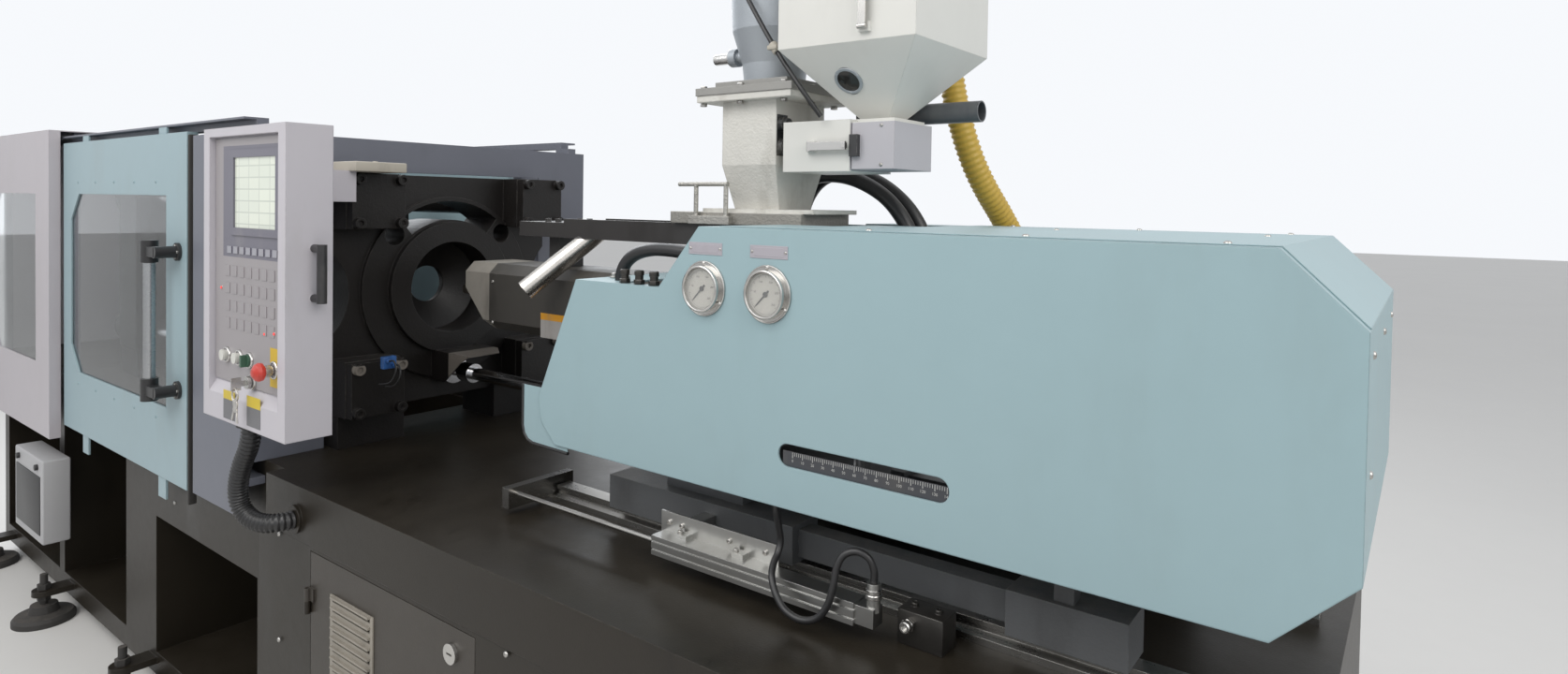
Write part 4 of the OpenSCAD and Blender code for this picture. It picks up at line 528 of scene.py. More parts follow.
# Feed side
throatWhite = makeFinish("throatWhite", {
    "colour": (0.64, 0.63, 0.59), "rough": 0.5, "drift": 0.06, "driftScale": 6.0, "skin": 190.0,
    "coarse": 1.6, "bump": 0.8, "depth": 0.0016, "edge": 0.004, "rub": 0.5, "rubbed": (0.36, 0.34, 0.30),
    "smear": 0.45, "grease": (0.34, 0.32, 0.28), "smearScale": 12.0, "dust": 0.25,
    "regions": [
        {"low": (900, -90, 1520), "high": (1280, 90, 1550.8), "colour": (0.30, 0.29, 0.265), "rough": 0.42,
         "metal": 0.5},
        {"low": (940, -112, 1520), "high": (1105, -88.2, 1625), "colour": (0.42, 0.41, 0.38),
         "rough": 0.32, "metal": 0.8},
        {"low": (1207.5, -84, 1670), "high": (1232, -48, 1755), "colour": (0.02, 0.022, 0.024),
         "rough": 0.3},
    ],
})
doserWhite = makeFinish("doserWhite", {
    "colour": (0.66, 0.66, 0.63), "rough": 0.36, "drift": 0.03, "skin": 900.0, "bump": 0.1,
    "depth": 0.0002, "edge": 0.002, "rub": 0.5, "rubbed": (0.40, 0.39, 0.37), "smear": 0.2,
    "grease": (0.44, 0.43, 0.40),
    "regions": [
        {"low": (1386, -86, 1638), "high": (1484, 66, 1728.9), "colour": (0.44, 0.43, 0.46), "rough": 0.4},
        {"low": (1388, -98, 1662), "high": (1410, -85, 1708), "colour": (0.03, 0.03, 0.032),
         "rough": 0.35},
        {"low": (1204, 69, 1735), "high": (1580, 115, 1782), "colour": (0.085, 0.092, 0.10),
         "rough": 0.32},
        {"low": (1200, -46, 1655), "high": (1227.5, 62, 1726), "colour": (0.50, 0.50, 0.50),
         "rough": 0.35},
    ],
})

# Plastic and rubber
blackGrip = {
    "colour": (0.022, 0.022, 0.023), "drift": 0.06, "skin": 700.0, "edge": 0.0012, "smear": 0.3,
    "grease": (0.05, 0.048, 0.045),
}
smallPlate = {"skin": 900.0, "bump": 0.08, "edge": 0.0006}
doorHandle = makeFinish("doorHandleGrip", {
    **blackGrip, "rough": 0.36, "bump": 0.2, "depth": 0.0002, "rub": 0.4, "rubbed": (0.09, 0.09, 0.09),
    "regions": [
        {"low": (-680, -612, 1043), "high": (-644, -575, 1375), "colour": (0.42, 0.43, 0.44),
         "rough": 0.26, "metal": 1.0},
    ],
})
cabinetDoor = makeFinish("cabinetDoorBlack", {
    "colour": (0.036, 0.030, 0.024), "rough": 0.4, "drift": 0.14, "driftScale": 2.2, "skin": 260.0,
    "coarse": 0.9, "bump": 0.3, "depth": 0.0006, "edge": 0.002, "rub": 0.7, "rubbed": (0.11, 0.095, 0.08),
    "smear": 0.6, "smearShine": -0.12, "grease": (0.014, 0.012, 0.009), "dust": 0.2,
    "dustColour": (0.10, 0.088, 0.070),
    "regions": [
        {"low": (303, -560, 398), "high": (493, -539.2, 674), "colour": (0.30, 0.275, 0.235),
         "rough": 0.5},
    ],
})
handleBlack = makeFinish("handleBlack", {
    **blackGrip, "rough": 0.42, "bump": 0.3, "rub": 0.3, "rubbed": (0.07, 0.07, 0.07),
})
hoseBlack = makeFinish("hoseBlack", {
    "colour": (0.016, 0.016, 0.017), "rough": 0.36, "drift": 0.1, "driftScale": 9.0, "skin": 600.0,
    "bump": 0.2, "depth": 0.0002, "smear": 0.4, "grease": (0.04, 0.038, 0.034), "dust": 0.35,
    "dustColour": (0.12, 0.11, 0.10),
})
hoseYellow = makeFinish("hoseYellow", {
    "colour": (0.56, 0.37, 0.055), "rough": 0.42, "drift": 0.06, "driftScale": 6.0, "skin": 500.0,
    "bump": 0.15, "smear": 0.35, "grease": (0.30, 0.20, 0.05), "dust": 0.2,
    "dustColour": (0.50, 0.42, 0.25),
})
panelPlate = makeFinish("panelPlate", {
    **smallPlate, "colour": (0.315, 0.296, 0.308), "rough": 0.38, "drift": 0.02, "skin": 1400.0,
    "depth": 0.0001, "smear": 0.3, "grease": (0.28, 0.26, 0.26), "smearScale": 11.0,
    "regions": [
        {"low": (46, -672, 1432), "high": (346, -663.5, 1684), "colour": (0.148, 0.144, 0.180),
         "rough": 0.34},
        {"low": (60, -672, 1438), "high": (340, -665.5, 1458), "colour": (0.33, 0.33, 0.37), "rough": 0.4},
    ],
})
buttonWhite = makeFinish("buttonWhite", {
    "colour": (0.62, 0.62, 0.58), "rough": 0.34, "skin": 800.0, "bump": 0.08, "smear": 0.3,
    "grease": (0.34, 0.32, 0.29), "smearScale": 60.0, "edge": 0.0012,
})
estopRed = makeFinish("estopRed", {
    "colour": (0.50, 0.035, 0.022), "rough": 0.32, "driftScale": 30.0, "skin": 900.0, "bump": 0.08,
    "smear": 0.3, "grease": (0.22, 0.03, 0.02), "smearScale": 50.0, "coat": 0.3,
    "regions": [
        {"low": (290, -687, 1175), "high": (340, -650, 1225), "colour": (0.58, 0.56, 0.53), "rough": 0.26,
         "metal": 1.0},
    ],
})
selectorGreen = makeFinish("selectorGreen", {
    "colour": (0.045, 0.11, 0.07), "rough": 0.36, "skin": 900.0, "bump": 0.08, "smear": 0.4,
    "grease": (0.03, 0.035, 0.03), "smearScale": 60.0, "edge": 0.001,
})
needleBlack = makeFinish("needleBlack", {
    "colour": (0.012, 0.012, 0.012), "rough": 0.4, "bump": 0.05, "smear": 0.1,
})
hmiHose = makeFinish("hmiHoseBlack", {
    "colour": (0.020, 0.020, 0.021), "rough": 0.34, "drift": 0.08, "driftScale": 9.0, "skin": 500.0,
    "bump": 0.2, "smear": 0.3, "grease": (0.05, 0.048, 0.044),
})


# Clear sheet of the guards' windows, a little dulled where it is smeared
glazingLook = {
    "colour": (0.93, 0.96, 0.97), "ior": 1.30, "rough": 0.015,
    "smear": 0.5, "smearScale": 3.0, "smearRough": 0.12,
}


def makeGlazing():
    material, tree, shader, place = newMaterial("guardGlazing")
    smear = placeGroup(tree, greaseSmear, place, Scale=glazingLook["smearScale"], Amount=glazingLook["smear"])
    rough = addScaled(tree, smear.outputs["Mask"], glazingLook["smearRough"], glazingLook["rough"])
    feedAll(
        tree, shader, Base_Color=glazingLook["colour"], Transmission_Weight=1.0, IOR=glazingLook["ior"],
        Roughness=rough,
    )
    return material


# Screen: a pale page with plain fields, laid out as tiles across the panel
screenLook = {
    "tile": (0.052, 0.026), "gap": 0.0016, "fields": ((0.60, 0.64, 0.56), (0.50, 0.55, 0.49)),
    "gapColour": (0.30, 0.34, 0.31), "page": (0.66, 0.69, 0.60), "pageShare": 0.45,
    "glow": 0.18, "rough": 0.14,
}


def makeScreen():
    material, tree, shader, place = newMaterial("screenGlow")
    parts = addNode(tree, "ShaderNodeSeparateXYZ", Vector=place).outputs
    flat = addNode(tree, "ShaderNodeCombineXYZ", X=parts["X"], Y=parts["Z"]).outputs[0]
    wide, high = screenLook["tile"]
    first, second = screenLook["fields"]
    tiles = addNode(
        tree, "ShaderNodeTexBrick", {"offset": 0.0}, Vector=flat, Scale=1.0, Mortar_Size=screenLook["gap"],
        Brick_Width=wide, Row_Height=high, Color1=first, Color2=second, Mortar=screenLook["gapColour"],
    )
    page = mixColour(tree, screenLook["pageShare"], tiles.outputs["Color"], screenLook["page"])
    feedAll(
        tree, shader, Base_Color=page, Emission_Color=page, Emission_Strength=screenLook["glow"],
        Roughness=screenLook["rough"],
    )
    return material


guardGlazing, screenGlow = makeGlazing(), makeScreen()

nodeFinish = {
    "bed_frame": bedBlack, "levelling_pads": padRubber, "cabinet_door": cabinetDoor,
    "cabinet_lock": latchSteel, "power_pack": tankBlue, "control_rack": rackGrey,
    "stationary_platen": fixedPlatenBlack, "tie_bars": tieChrome, "tail_platen": platenBlack,
    "clamp_cylinder": steelDark, "moving_platen": platenBlack, "ejector_plate": steelDark,
    "crosshead": linkSteel, "rear_links_upper": linkSteel, "rear_links_lower": linkSteel,
    "front_links_upper": linkSteel, "front_links_lower": linkSteel, "drive_links_upper": linkSteel,
    "drive_links_lower": linkSteel, "front_guard": guardGrey, "guard_window": guardGlazing,
    "end_panel": panelBlueGrey, "rear_guard": guardGrey, "front_door": doorBlue,
    "front_door_window": guardGlazing, "door_handle": doorHandle, "rear_door": doorBlue,
    "hmi_housing": housingGrey, "hmi_panel": panelPlate, "hmi_screen": screenGlow,
    "estop_button": estopRed, "key_switch": latchSteel, "selector_knob": selectorGreen,
    "start_button": buttonWhite, "stop_button": buttonWhite, "hmi_hose": hoseBlack,
    "guide_rails": railSteel, "carriage_rod": tieChrome, "injection_seat": seatGrey, "barrel": barrelSteel,
    "barrel_cover": shroudBlack, "injection_cylinders": seatGrey, "injection_cover": coverBlue,
    "gauges": latchSteel, "needle_a": needleBlack, "needle_b": needleBlack, "transducer": sensorAluminium,
    "transducer_cable": hoseBlack, "slide_plate": slideIron, "thrust_plate": seatGrey, "screw": screwSteel,
    "throat": throatWhite, "feed_adaptor": castAluminium, "doser_body": doserWhite,
    "doser_latch": latchSteel, "doser_hopper": doserWhite, "hopper_latch": latchSteel,
    "hopper_lid": doserWhite, "feed_hose": hoseYellow, "hydraulic_hoses": hoseBlack,
}
for nodeName, look in nodeFinish.items():
    for holder in nodes[nodeName].material_slots:
        holder.link = "OBJECT"
        holder.material = look
print("finishes on", len(nodeFinish), "nodes")


# The bmesh as a piece on its body, with its place left in the mesh
def newPiece(name, bm, body, material, smooth=False):
    mesh = bpy.data.meshes.new(name)
    bm.normal_update()
    bm.to_mesh(mesh)
    bm.free()
    for face in mesh.polygons:
        face.use_smooth = smooth
    if smooth:
        mesh.set_sharp_from_angle(angle=math.radians(35))
    piece = bpy.data.objects.new(name, mesh)
    scene.collection.objects.link(piece)
    mesh.materials.append(material)
    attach(piece, body)
    return piece


# A set of verts, edges or faces in the mesh's own order, so that every run gives the same shape
def inOrder(sequence, chosen):
    sequence.index_update()
    return sorted(chosen, key=lambda item: item.index)


# Edges rounded by a width in millimetres
def roundEdges(bm, edges, width, steps=2):
    bmesh.ops.bevel(
        bm, geom=inOrder(bm.edges, edges), offset=width / 1000, segments=steps, profile=0.5, affect="EDGES",
        material=-1,
    )


# A block between two corners, with its edges rounded
def addBlock(bm, low, high, rounding=0.0, steps=2):
    low, high = at(*low), at(*high)
    made = bmesh.ops.create_cube(bm, size=1)["verts"]
    bmesh.ops.scale(bm, vec=high - low, verts=made)
    bmesh.ops.translate(bm, vec=(low + high) / 2, verts=made)
    if rounding:
        roundEdges(bm, {e for v in made for e in v.link_edges}, rounding, steps)


# A round bar from one point to another, chamfered at its ends; sides of 6 make a hexagon
def addRod(bm, start, end, radius, sides=24, chamfer=0.0):
    start, end = at(*start), at(*end)
    run = end - start
    radius = radius / 1000
    made = bmesh.ops.create_cone(
        bm, cap_ends=True, segments=sides, radius1=radius, radius2=radius, depth=run.length
    )["verts"]
    bmesh.ops.rotate(bm, verts=made, cent=(0, 0, 0), matrix=run.to_track_quat("Z", "Y").to_matrix())
    bmesh.ops.translate(bm, vec=(start + end) / 2, verts=made)
    if chamfer:
        rims = {e for v in made for e in v.link_edges if any(len(f.verts) == sides for f in e.link_faces)}
        roundEdges(bm, rims, chamfer)


# A turned shape: the outline's distance along the axis and its radius, spun round the axis
def addTurned(bm, centre, axis, outline, steps=32):
    centre, axis = at(*centre), Vector(axis).normalized()
    side = axis.orthogonal().normalized()
    verts = [bm.verts.new(centre + axis * (d / 1000) + side * (r / 1000)) for d, r in outline]
    edges = [bm.edges.new(pair) for pair in zip(verts, verts[1:])]
    bmesh.ops.spin(
        bm, geom=verts + edges, cent=centre, axis=axis, angle=math.tau, steps=steps, use_merge=True,
        use_duplicate=False,
    )
    whole = {v for e in edges if e.is_valid for v in e.verts}
    grown = set(whole)
    while grown:
        grown = {o for v in grown for e in v.link_edges for o in e.verts} - whole
        whole |= grown
    bmesh.ops.remove_doubles(bm, verts=inOrder(bm.verts, whole), dist=1e-6)
    faces = {f for v in whole if v.is_valid for f in v.link_faces}
    bmesh.ops.recalc_face_normals(bm, faces=inOrder(bm.faces, faces))


# A flat outline pulled out into a plate; every point is in the machine's millimetres
def addPlate(bm, outline, pull, rounding=0.0):
    verts = [bm.verts.new(at(*p)) for p in outline]
    face = bm.faces.new(verts)
    pulled = bmesh.ops.extrude_face_region(bm, geom=[face])["geom"]
    moved = [g for g in pulled if isinstance(g, bmesh.types.BMVert)]
    bmesh.ops.translate(bm, vec=Vector(pull) / 1000, verts=moved)
    whole = {f for v in verts + moved for f in v.link_faces}
    bmesh.ops.recalc_face_normals(bm, faces=inOrder(bm.faces, whole))
    if rounding:
        roundEdges(bm, {e for f in whole for e in f.edges}, rounding)


# A socket-head screw: its head stands off the face along the axis, with a round socket sunk in it
def addSocketScrew(bm, foot, axis, radius, height):
    addTurned(bm, foot, axis, [
        (0, radius), (height - radius * 0.18, radius), (height, radius * 0.84), (height, radius * 0.55),
        (height * 0.45, radius * 0.5), (height * 0.45, 0)], steps=12)


# A button-head screw with a shallow dome
def addDomeScrew(bm, foot, axis, radius, height):
    addTurned(bm, foot, axis, [
        (0, radius), (height * 0.35, radius * 0.97), (height * 0.75, radius * 0.78), (height, radius * 0.42),
        (height * 0.55, radius * 0.36), (height * 0.55, 0)], steps=14)


# The route as one smooth line, with points at an even step
def smoothRoute(points, step):
    points = [at(*p) for p in points]
    fine = []
    for i in range(len(points) - 1):
        before = points[max(i - 1, 0)]
        start, end = points[i], points[i + 1]
        after = points[min(i + 2, len(points) - 1)]
        fine += interpolate_bezier(start, start + (end - before) / 6, end - (after - start) / 6, end, 24)[:-1]
    fine.append(points[-1])
    run = [0.0]
    for i in range(len(fine) - 1):
        run.append(run[-1] + (fine[i + 1] - fine[i]).length)
    count = max(2, round(run[-1] / step))
    even, j = [], 0
    for k in range(count + 1):
        wanted = run[-1] * k / count
        while j < len(run) - 2 and run[j + 1] < wanted:
            j += 1
        share = (wanted - run[j]) / max(run[j + 1] - run[j], 1e-9)
        even.append(fine[j].lerp(fine[j + 1], min(1.0, share)))
    return even, run[-1]


# A hose as a curve of its real length; ribs come from the radius along it
def makeHose(name, hose, material, body, node):
    ribStep = hose.get("pitch", 0.0) / 4
    route, length = smoothRoute(hose["route"], ribStep or min(0.012, hose["diameter"] / 3))
    curve = bpy.data.curves.new(name, "CURVE")
    curve.dimensions = "3D"
    curve.bevel_depth = hose["diameter"] / 2
    curve.bevel_resolution = hose.get("sides", 3)
    curve.use_fill_caps = True
    spline = curve.splines.new("POLY")
    spline.points.add(len(route) - 1)
    low = 1 - hose.get("ribDepth", 0.0)
    wave = (low, 1.0, 1.0, low)
    for i, (point, place) in enumerate(zip(spline.points, route)):
        point.co = (*place, 1.0)
        point.radius = wave[i % 4] if ribStep else 1.0
    spline.use_smooth = True
    piece = bpy.data.objects.new(name, curve)
    scene.collection.objects.link(piece)
    curve.materials.append(material)
    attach(piece, body)
    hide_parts(node)
    print(name, round(length, 3), "m")


panelHose = {
    "diameter": 0.044, "pitch": 0.0092, "ribDepth": 0.13, "sides": 4,
    "route": [
        (105, -628, 1039.7), (105, -628, 1015), (95, -630, 983), (76, -633, 950), (58, -634, 912),
        (46, -632, 875), (46, -628, 845), (62, -622, 822), (88, -614, 810), (114, -602, 806),
        (132, -586, 806), (140, -568, 806), (140, -551, 806),
    ],
}
makeHose("panelHose", panelHose, hmiHose, "machine", "hmi_hose")

granuleHose = {
    "diameter": 0.056, "pitch": 0.0130, "ribDepth": 0.09, "sides": 4, "end": "fitting", "lay": "hanging",
    "route": [
        (1408, 172.3, 1985), (1408, 196, 1985), (1409, 218, 1982), (1412, 240, 1969), (1416, 254, 1945),
        (1420, 262, 1905), (1425, 267, 1850), (1436, 272, 1790), (1450, 284, 1725), (1464, 306, 1665),
        (1478, 342, 1610), (1490, 392, 1558), (1500, 448, 1500), (1510, 502, 1430), (1520, 548, 1345),
        (1530, 586, 1250), (1540, 614, 1145), (1548, 634, 1035), (1556, 648, 920), (1564, 656, 800),
        (1570, 661, 680), (1575, 664, 560), (1578, 668, 440), (1580, 676, 330), (1580, 692, 235),
        (1578, 716, 160), (1572, 748, 100), (1560, 785, 60), (1540, 828, 38), (1510, 870, 30),
        (1465, 908, 30), (1410, 935, 30), (1350, 950, 30), (1290, 955, 30), (1230, 950, 30),
    ],
}
granuleCuff = {
    "end": (1236, 950.5, 30), "along": (-1, -0.083, 0),
    "outline": [(0, 27.5), (0, 29.6), (22, 29.6), (24, 28.4), (58, 28.4), (61, 29.6), (66, 29.6), (66, 25),
                (20, 25), (0, 25.5), (0, 27.5)],
}
bm = bmesh.new()
addTurned(bm, granuleCuff["end"], granuleCuff["along"], granuleCuff["outline"])
cuffPiece = newPiece("granuleHoseCuff", bm, "feeder", handleBlack, smooth=True)
granuleHose["with"] = [cuffPiece]
makeHose("granuleHose", granuleHose, hoseYellow, "feeder", "feed_hose")

sensorCable = {
    "diameter": 0.012, "stiffness": "limp",
    "route": [
        (1408, -332, 1092), (1408, -332, 1058), (1408, -324, 1025), (1408, -318, 998), (1409, -326, 980),
        (1413, -343, 968), (1424, -362, 955), (1440, -372, 935), (1462, -376, 916), (1492, -374, 908),
        (1520, -370, 917), (1537, -365, 941), (1544, -360, 972), (1546.5, -354, 1001),
        (1554.5, -347, 1019.6), (1573, -339, 1027.5), (1592, -333, 1019.6), (1600, -330, 1001),
        (1600, -330, 983.3),
    ],
}
makeHose("sensorCable", sensorCable, hoseBlack, "carriage", "transducer_cable")

oilHoses = {
    "oilHoseNear": {
        "diameter": 0.034, "stiffness": "stiff",
        "route": [
            (1066, 150, 1395.3), (1066, 150, 1430), (1066, 150, 1480), (1072, 150, 1530),
            (1086, 150, 1575), (1110, 150, 1612), (1145, 150, 1634), (1190, 150, 1639), (1240, 150, 1632),
            (1290, 150, 1613), (1335, 150, 1585), (1370, 150, 1548), (1395, 150, 1505), (1411, 150, 1455),
            (1420, 150, 1408), (1420, 150, 1374.3),
        ],
    },
    "oilHoseFar": {
        "diameter": 0.034, "stiffness": "stiff",
        "route": [
            (1062, 197, 1395.3), (1062, 197, 1430), (1062, 197, 1480), (1070, 197, 1535),
            (1088, 197, 1585), (1118, 197, 1622), (1160, 197, 1642), (1210, 197, 1643), (1262, 197, 1631),
            (1310, 197, 1608), (1352, 197, 1575), (1384, 197, 1535), (1405, 197, 1490), (1416, 197, 1445),
            (1420, 197, 1405), (1420, 197, 1374.3),
        ],
    },
    "ledgeHose": {
        "diameter": 0.026, "stiffness": "stiff",
        "route": [
            (1160, -290, 1476), (1115, -290, 1479), (1065, -290, 1478), (1020, -290, 1468),
            (990, -290, 1448), (978, -290, 1422), (978, -290, 1395),
        ],
    },
}
for hoseName, hose in oilHoses.items():
    makeHose(hoseName, hose, hoseBlack, "carriage", "hydraulic_hoses")
print("hoses and cables laid")


# Finishes of the small pieces
plateLilac = makeFinish("plateLilac", {
    **smallPlate, "colour": (0.43, 0.41, 0.45), "rough": 0.36, "metal": 0.3, "smear": 0.3,
    "grease": (0.30, 0.29, 0.31), "smearScale": 40.0,
})
dialWhite = makeFinish("dialWhite", {
    "colour": (0.44, 0.425, 0.385), "rough": 0.5, "drift": 0.02, "skin": 900.0, "bump": 0.05,
    "smear": 0.15, "grease": (0.46, 0.43, 0.37), "smearScale": 30.0,
})
scaleBlack = makeFinish("scaleBlack", {
    "colour": (0.045, 0.048, 0.056), "rough": 0.4, "skin": 900.0, "bump": 0.1, "smear": 0.4,
    "grease": (0.09, 0.085, 0.08), "smearScale": 14.0, "dust": 0.3,
})
markWhite = makeFinish("markWhite", {
    "colour": (0.52, 0.52, 0.50), "rough": 0.5, "skin": 900.0, "bump": 0.05, "smear": 0.5,
    "grease": (0.28, 0.27, 0.25), "smearScale": 25.0,
})
plateYellow = makeFinish("plateYellow", {
    **smallPlate, "colour": (0.62, 0.42, 0.022), "rough": 0.4, "drift": 0.04, "smear": 0.35,
    "grease": (0.36, 0.25, 0.03), "smearScale": 20.0,
})
boltSteel = makeFinish("boltSteel", {
    "colour": (0.44, 0.43, 0.41), "rough": 0.3, "metal": 1.0, "drift": 0.12, "driftScale": 30.0,
    "skin": 700.0, "bump": 0.12, "depth": 0.0002, "smear": 0.45, "grease": (0.10, 0.09, 0.07),
    "smearScale": 30.0, "edge": 0.0008,
})
boltBlack = makeFinish("boltBlack", {
    "colour": (0.055, 0.052, 0.048), "rough": 0.34, "metal": 0.7, "drift": 0.12, "driftScale": 30.0,
    "skin": 700.0, "bump": 0.12, "depth": 0.0002, "edge": 0.001, "rub": 0.7, "rubbed": (0.34, 0.33, 0.31),
    "smear": 0.4,
})
ductCream = makeFinish("ductCream", {
    "colour": (0.44, 0.41, 0.35), "rough": 0.48, "skin": 800.0, "bump": 0.12, "smear": 0.4,
    "grease": (0.22, 0.20, 0.16), "smearScale": 12.0, "dust": 0.4,
})


# The panel's lamps, lit from inside, and the dials' flat glass, almost clear but with its gloss
lampLook = {"colour": (0.75, 0.06, 0.05), "driftScale": 90.0, "drift": 0.06, "rough": 0.25, "glow": 0.7}
paneLook = {
    "colour": (0.86, 0.88, 0.88), "driftScale": 20.0, "drift": 0.02, "rough": 0.03, "alpha": 0.10,
    "smear": 0.6, "smearScale": 30.0, "smearRough": 0.2, "smearAlpha": 0.08,
}


def makeLampRed():
    material, tree, shader, _, tone = newToned("lampRed", lampLook)
    feedAll(tree, shader, Emission_Color=tone, Emission_Strength=lampLook["glow"])
    return material


def makeDialGlass():
    material, tree, shader, place, _ = newToned("dialGlass", paneLook)
    smear = placeGroup(tree, greaseSmear, place, Scale=paneLook["smearScale"], Amount=paneLook["smear"])
    mask = smear.outputs["Mask"]
    feedAll(
        tree, shader, Roughness=addScaled(tree, mask, paneLook["smearRough"], paneLook["rough"]),
        Alpha=addScaled(tree, mask, paneLook["smearAlpha"], paneLook["alpha"]),
    )
    return material


lampRed, dialGlass = makeLampRed(), makeDialGlass()


# A thin mark on a face that looks at the operator, at an angle from a centre
def addMark(bm, centre, angle, inner, outer, width, depth=0.06):
    turn = Matrix.Rotation(-math.radians(angle), 3, "Y")
    made = bmesh.ops.create_cube(bm, size=1)["verts"]
    bmesh.ops.scale(bm, vec=((outer - inner) / 1000, depth / 1000, width / 1000), verts=made)
    bmesh.ops.translate(bm, vec=((outer + inner) / 2000, -depth / 2000, 0), verts=made)
    bmesh.ops.rotate(bm, verts=made, cent=(0, 0, 0), matrix=turn)
    bmesh.ops.translate(bm, vec=at(*centre), verts=made)


# A number in the plain built-in face, flat on a face that looks at the operator
def addNumber(bm, number, centre, height, depth=0.06):
    text = bpy.data.curves.new("scaleNumber", "FONT")
    text.body = str(number)
    text.size = height / 1000
    text.extrude = depth / 2000
    text.resolution_u = 2
    text.align_x, text.align_y = "CENTER", "CENTER"
    holder = bpy.data.objects.new("scaleNumber", text)
    scene.collection.objects.link(holder)
    mesh = bpy.data.meshes.new_from_object(holder.evaluated_get(bpy.context.evaluated_depsgraph_get()))
    before = set(bm.verts)
    bm.from_mesh(mesh)
    made = [v for v in bm.verts if v not in before]
    bmesh.ops.rotate(bm, verts=made, cent=(0, 0, 0), matrix=Matrix.Rotation(math.pi / 2, 3, "X"))
    bmesh.ops.translate(bm, vec=at(*centre) + Vector((0, -depth / 2000, 0)), verts=made)
    bpy.data.objects.remove(holder)
    bpy.data.curves.remove(text)
    bpy.data.meshes.remove(mesh)


# Pressure gauges on the cover: chromed flange and ring, printed dial, flat glass
gaugeLook = {
    "centres": (1249, 1392), "height": 1419, "face": -343.0,
    "flange": [(0.1, 49.5), (3.1, 49.5), (4.0, 48.6), (4.0, 47.2), (3.3, 46.4), (3.3, 41.3), (0.1, 41.3),
               (0.1, 49.5)],
    "ring": [(3.2, 41.3), (12.6, 41.6), (14.8, 41.0), (15.7, 39.4), (15.5, 37.6), (14.2, 36.4), (6.2, 36.2),
             (6.1, 36.9), (3.2, 36.9), (3.2, 41.3)],
    "screwAngles": (90, 208, 328), "screwRing": 45.3, "screwSeat": 3.2, "screw": (3.6, 2.6),
    "inside": 36.2, "dial": (6.02, 6.28), "pane": (11.6, 12.4),
    "marks": 50, "sweep": 270, "start": 225, "markSeat": 6.27, "markEnd": 33.2, "line": 0.4,
    "shortMark": (30.6, 0.4), "longMark": (28.6, 0.75),
    "numbers": (0, 50, 100, 150, 200, 250), "numberRing": 23.2, "numberHeight": 5.4,
    "plates": ((1211, 1290), (1353, 1433)), "plateHeight": (1479, 1501),
}
towardOperator = (0, -1, 0)


# Steps in X and Z from a centre, at an angle in degrees
def onRing(radius, angle):
    return radius * math.cos(math.radians(angle)), radius * math.sin(math.radians(angle))


chrome, dials, marks, panes = (bmesh.new() for _ in range(4))
for x in gaugeLook["centres"]:
    z, face, inside, end = (gaugeLook[k] for k in ("height", "face", "inside", "markEnd"))
    foot, printed = (x, face, z), (x, face - gaugeLook["markSeat"], z)
    for outline in (gaugeLook["flange"], gaugeLook["ring"]):
        addTurned(chrome, foot, towardOperator, outline, steps=64)
    for angle in gaugeLook["screwAngles"]:
        dx, dz = onRing(gaugeLook["screwRing"], angle)
        seat = (x + dx, face - gaugeLook["screwSeat"], z + dz)
        addDomeScrew(chrome, seat, towardOperator, *gaugeLook["screw"])
    for disc, (low, high) in ((dials, gaugeLook["dial"]), (panes, gaugeLook["pane"])):
        addTurned(disc, foot, towardOperator, [(low, 0), (low, inside), (high, inside), (high, 0)], steps=48)
    for i in range(gaugeLook["marks"] + 1):
        angle = gaugeLook["start"] - gaugeLook["sweep"] * i / gaugeLook["marks"]
        inner, width = gaugeLook["shortMark" if i % 5 else "longMark"]
        addMark(marks, printed, angle, inner, end, width)
    for i, number in enumerate(gaugeLook["numbers"]):
        angle = gaugeLook["start"] - gaugeLook["sweep"] * i / (len(gaugeLook["numbers"]) - 1)
        dx, dz = onRing(gaugeLook["numberRing"], angle)
        addNumber(marks, number, (x + dx, printed[1], z + dz), gaugeLook["numberHeight"])
    outside = end + gaugeLook["line"]
    outline = [(0, end), (0.06, end), (0.06, outside), (0, outside), (0, end)]
    addTurned(marks, printed, towardOperator, outline, steps=64)
newPiece("gaugeBezels", chrome, "carriage", latchSteel, smooth=True)
newPiece("gaugeDials", dials, "carriage", dialWhite)
newPiece("gaugeMarks", marks, "carriage", needleBlack)
newPiece("gaugePanes", panes, "carriage", dialGlass, smooth=True)

bm, rivets = bmesh.new(), bmesh.new()
for left, right in gaugeLook["plates"]:
    low, high = gaugeLook["plateHeight"]
    addBlock(bm, (left, -344.0, low), (right, -343.0, high), 0.4)
    addBlock(bm, (left + 9, -344.25, low + 3.5), (right - 9, -343.9, high - 3.5), 0.15, 1)
    for x in (left + 4.5, right - 4.5):
        addDomeScrew(rivets, (x, -344.0, (low + high) / 2), towardOperator, 2.7, 1.6)
newPiece("gaugePlates", bm, "carriage", plateLilac)
newPiece("gaugePlateRivets", rivets, "carriage", boltSteel, smooth=True)
print("gauges dressed")


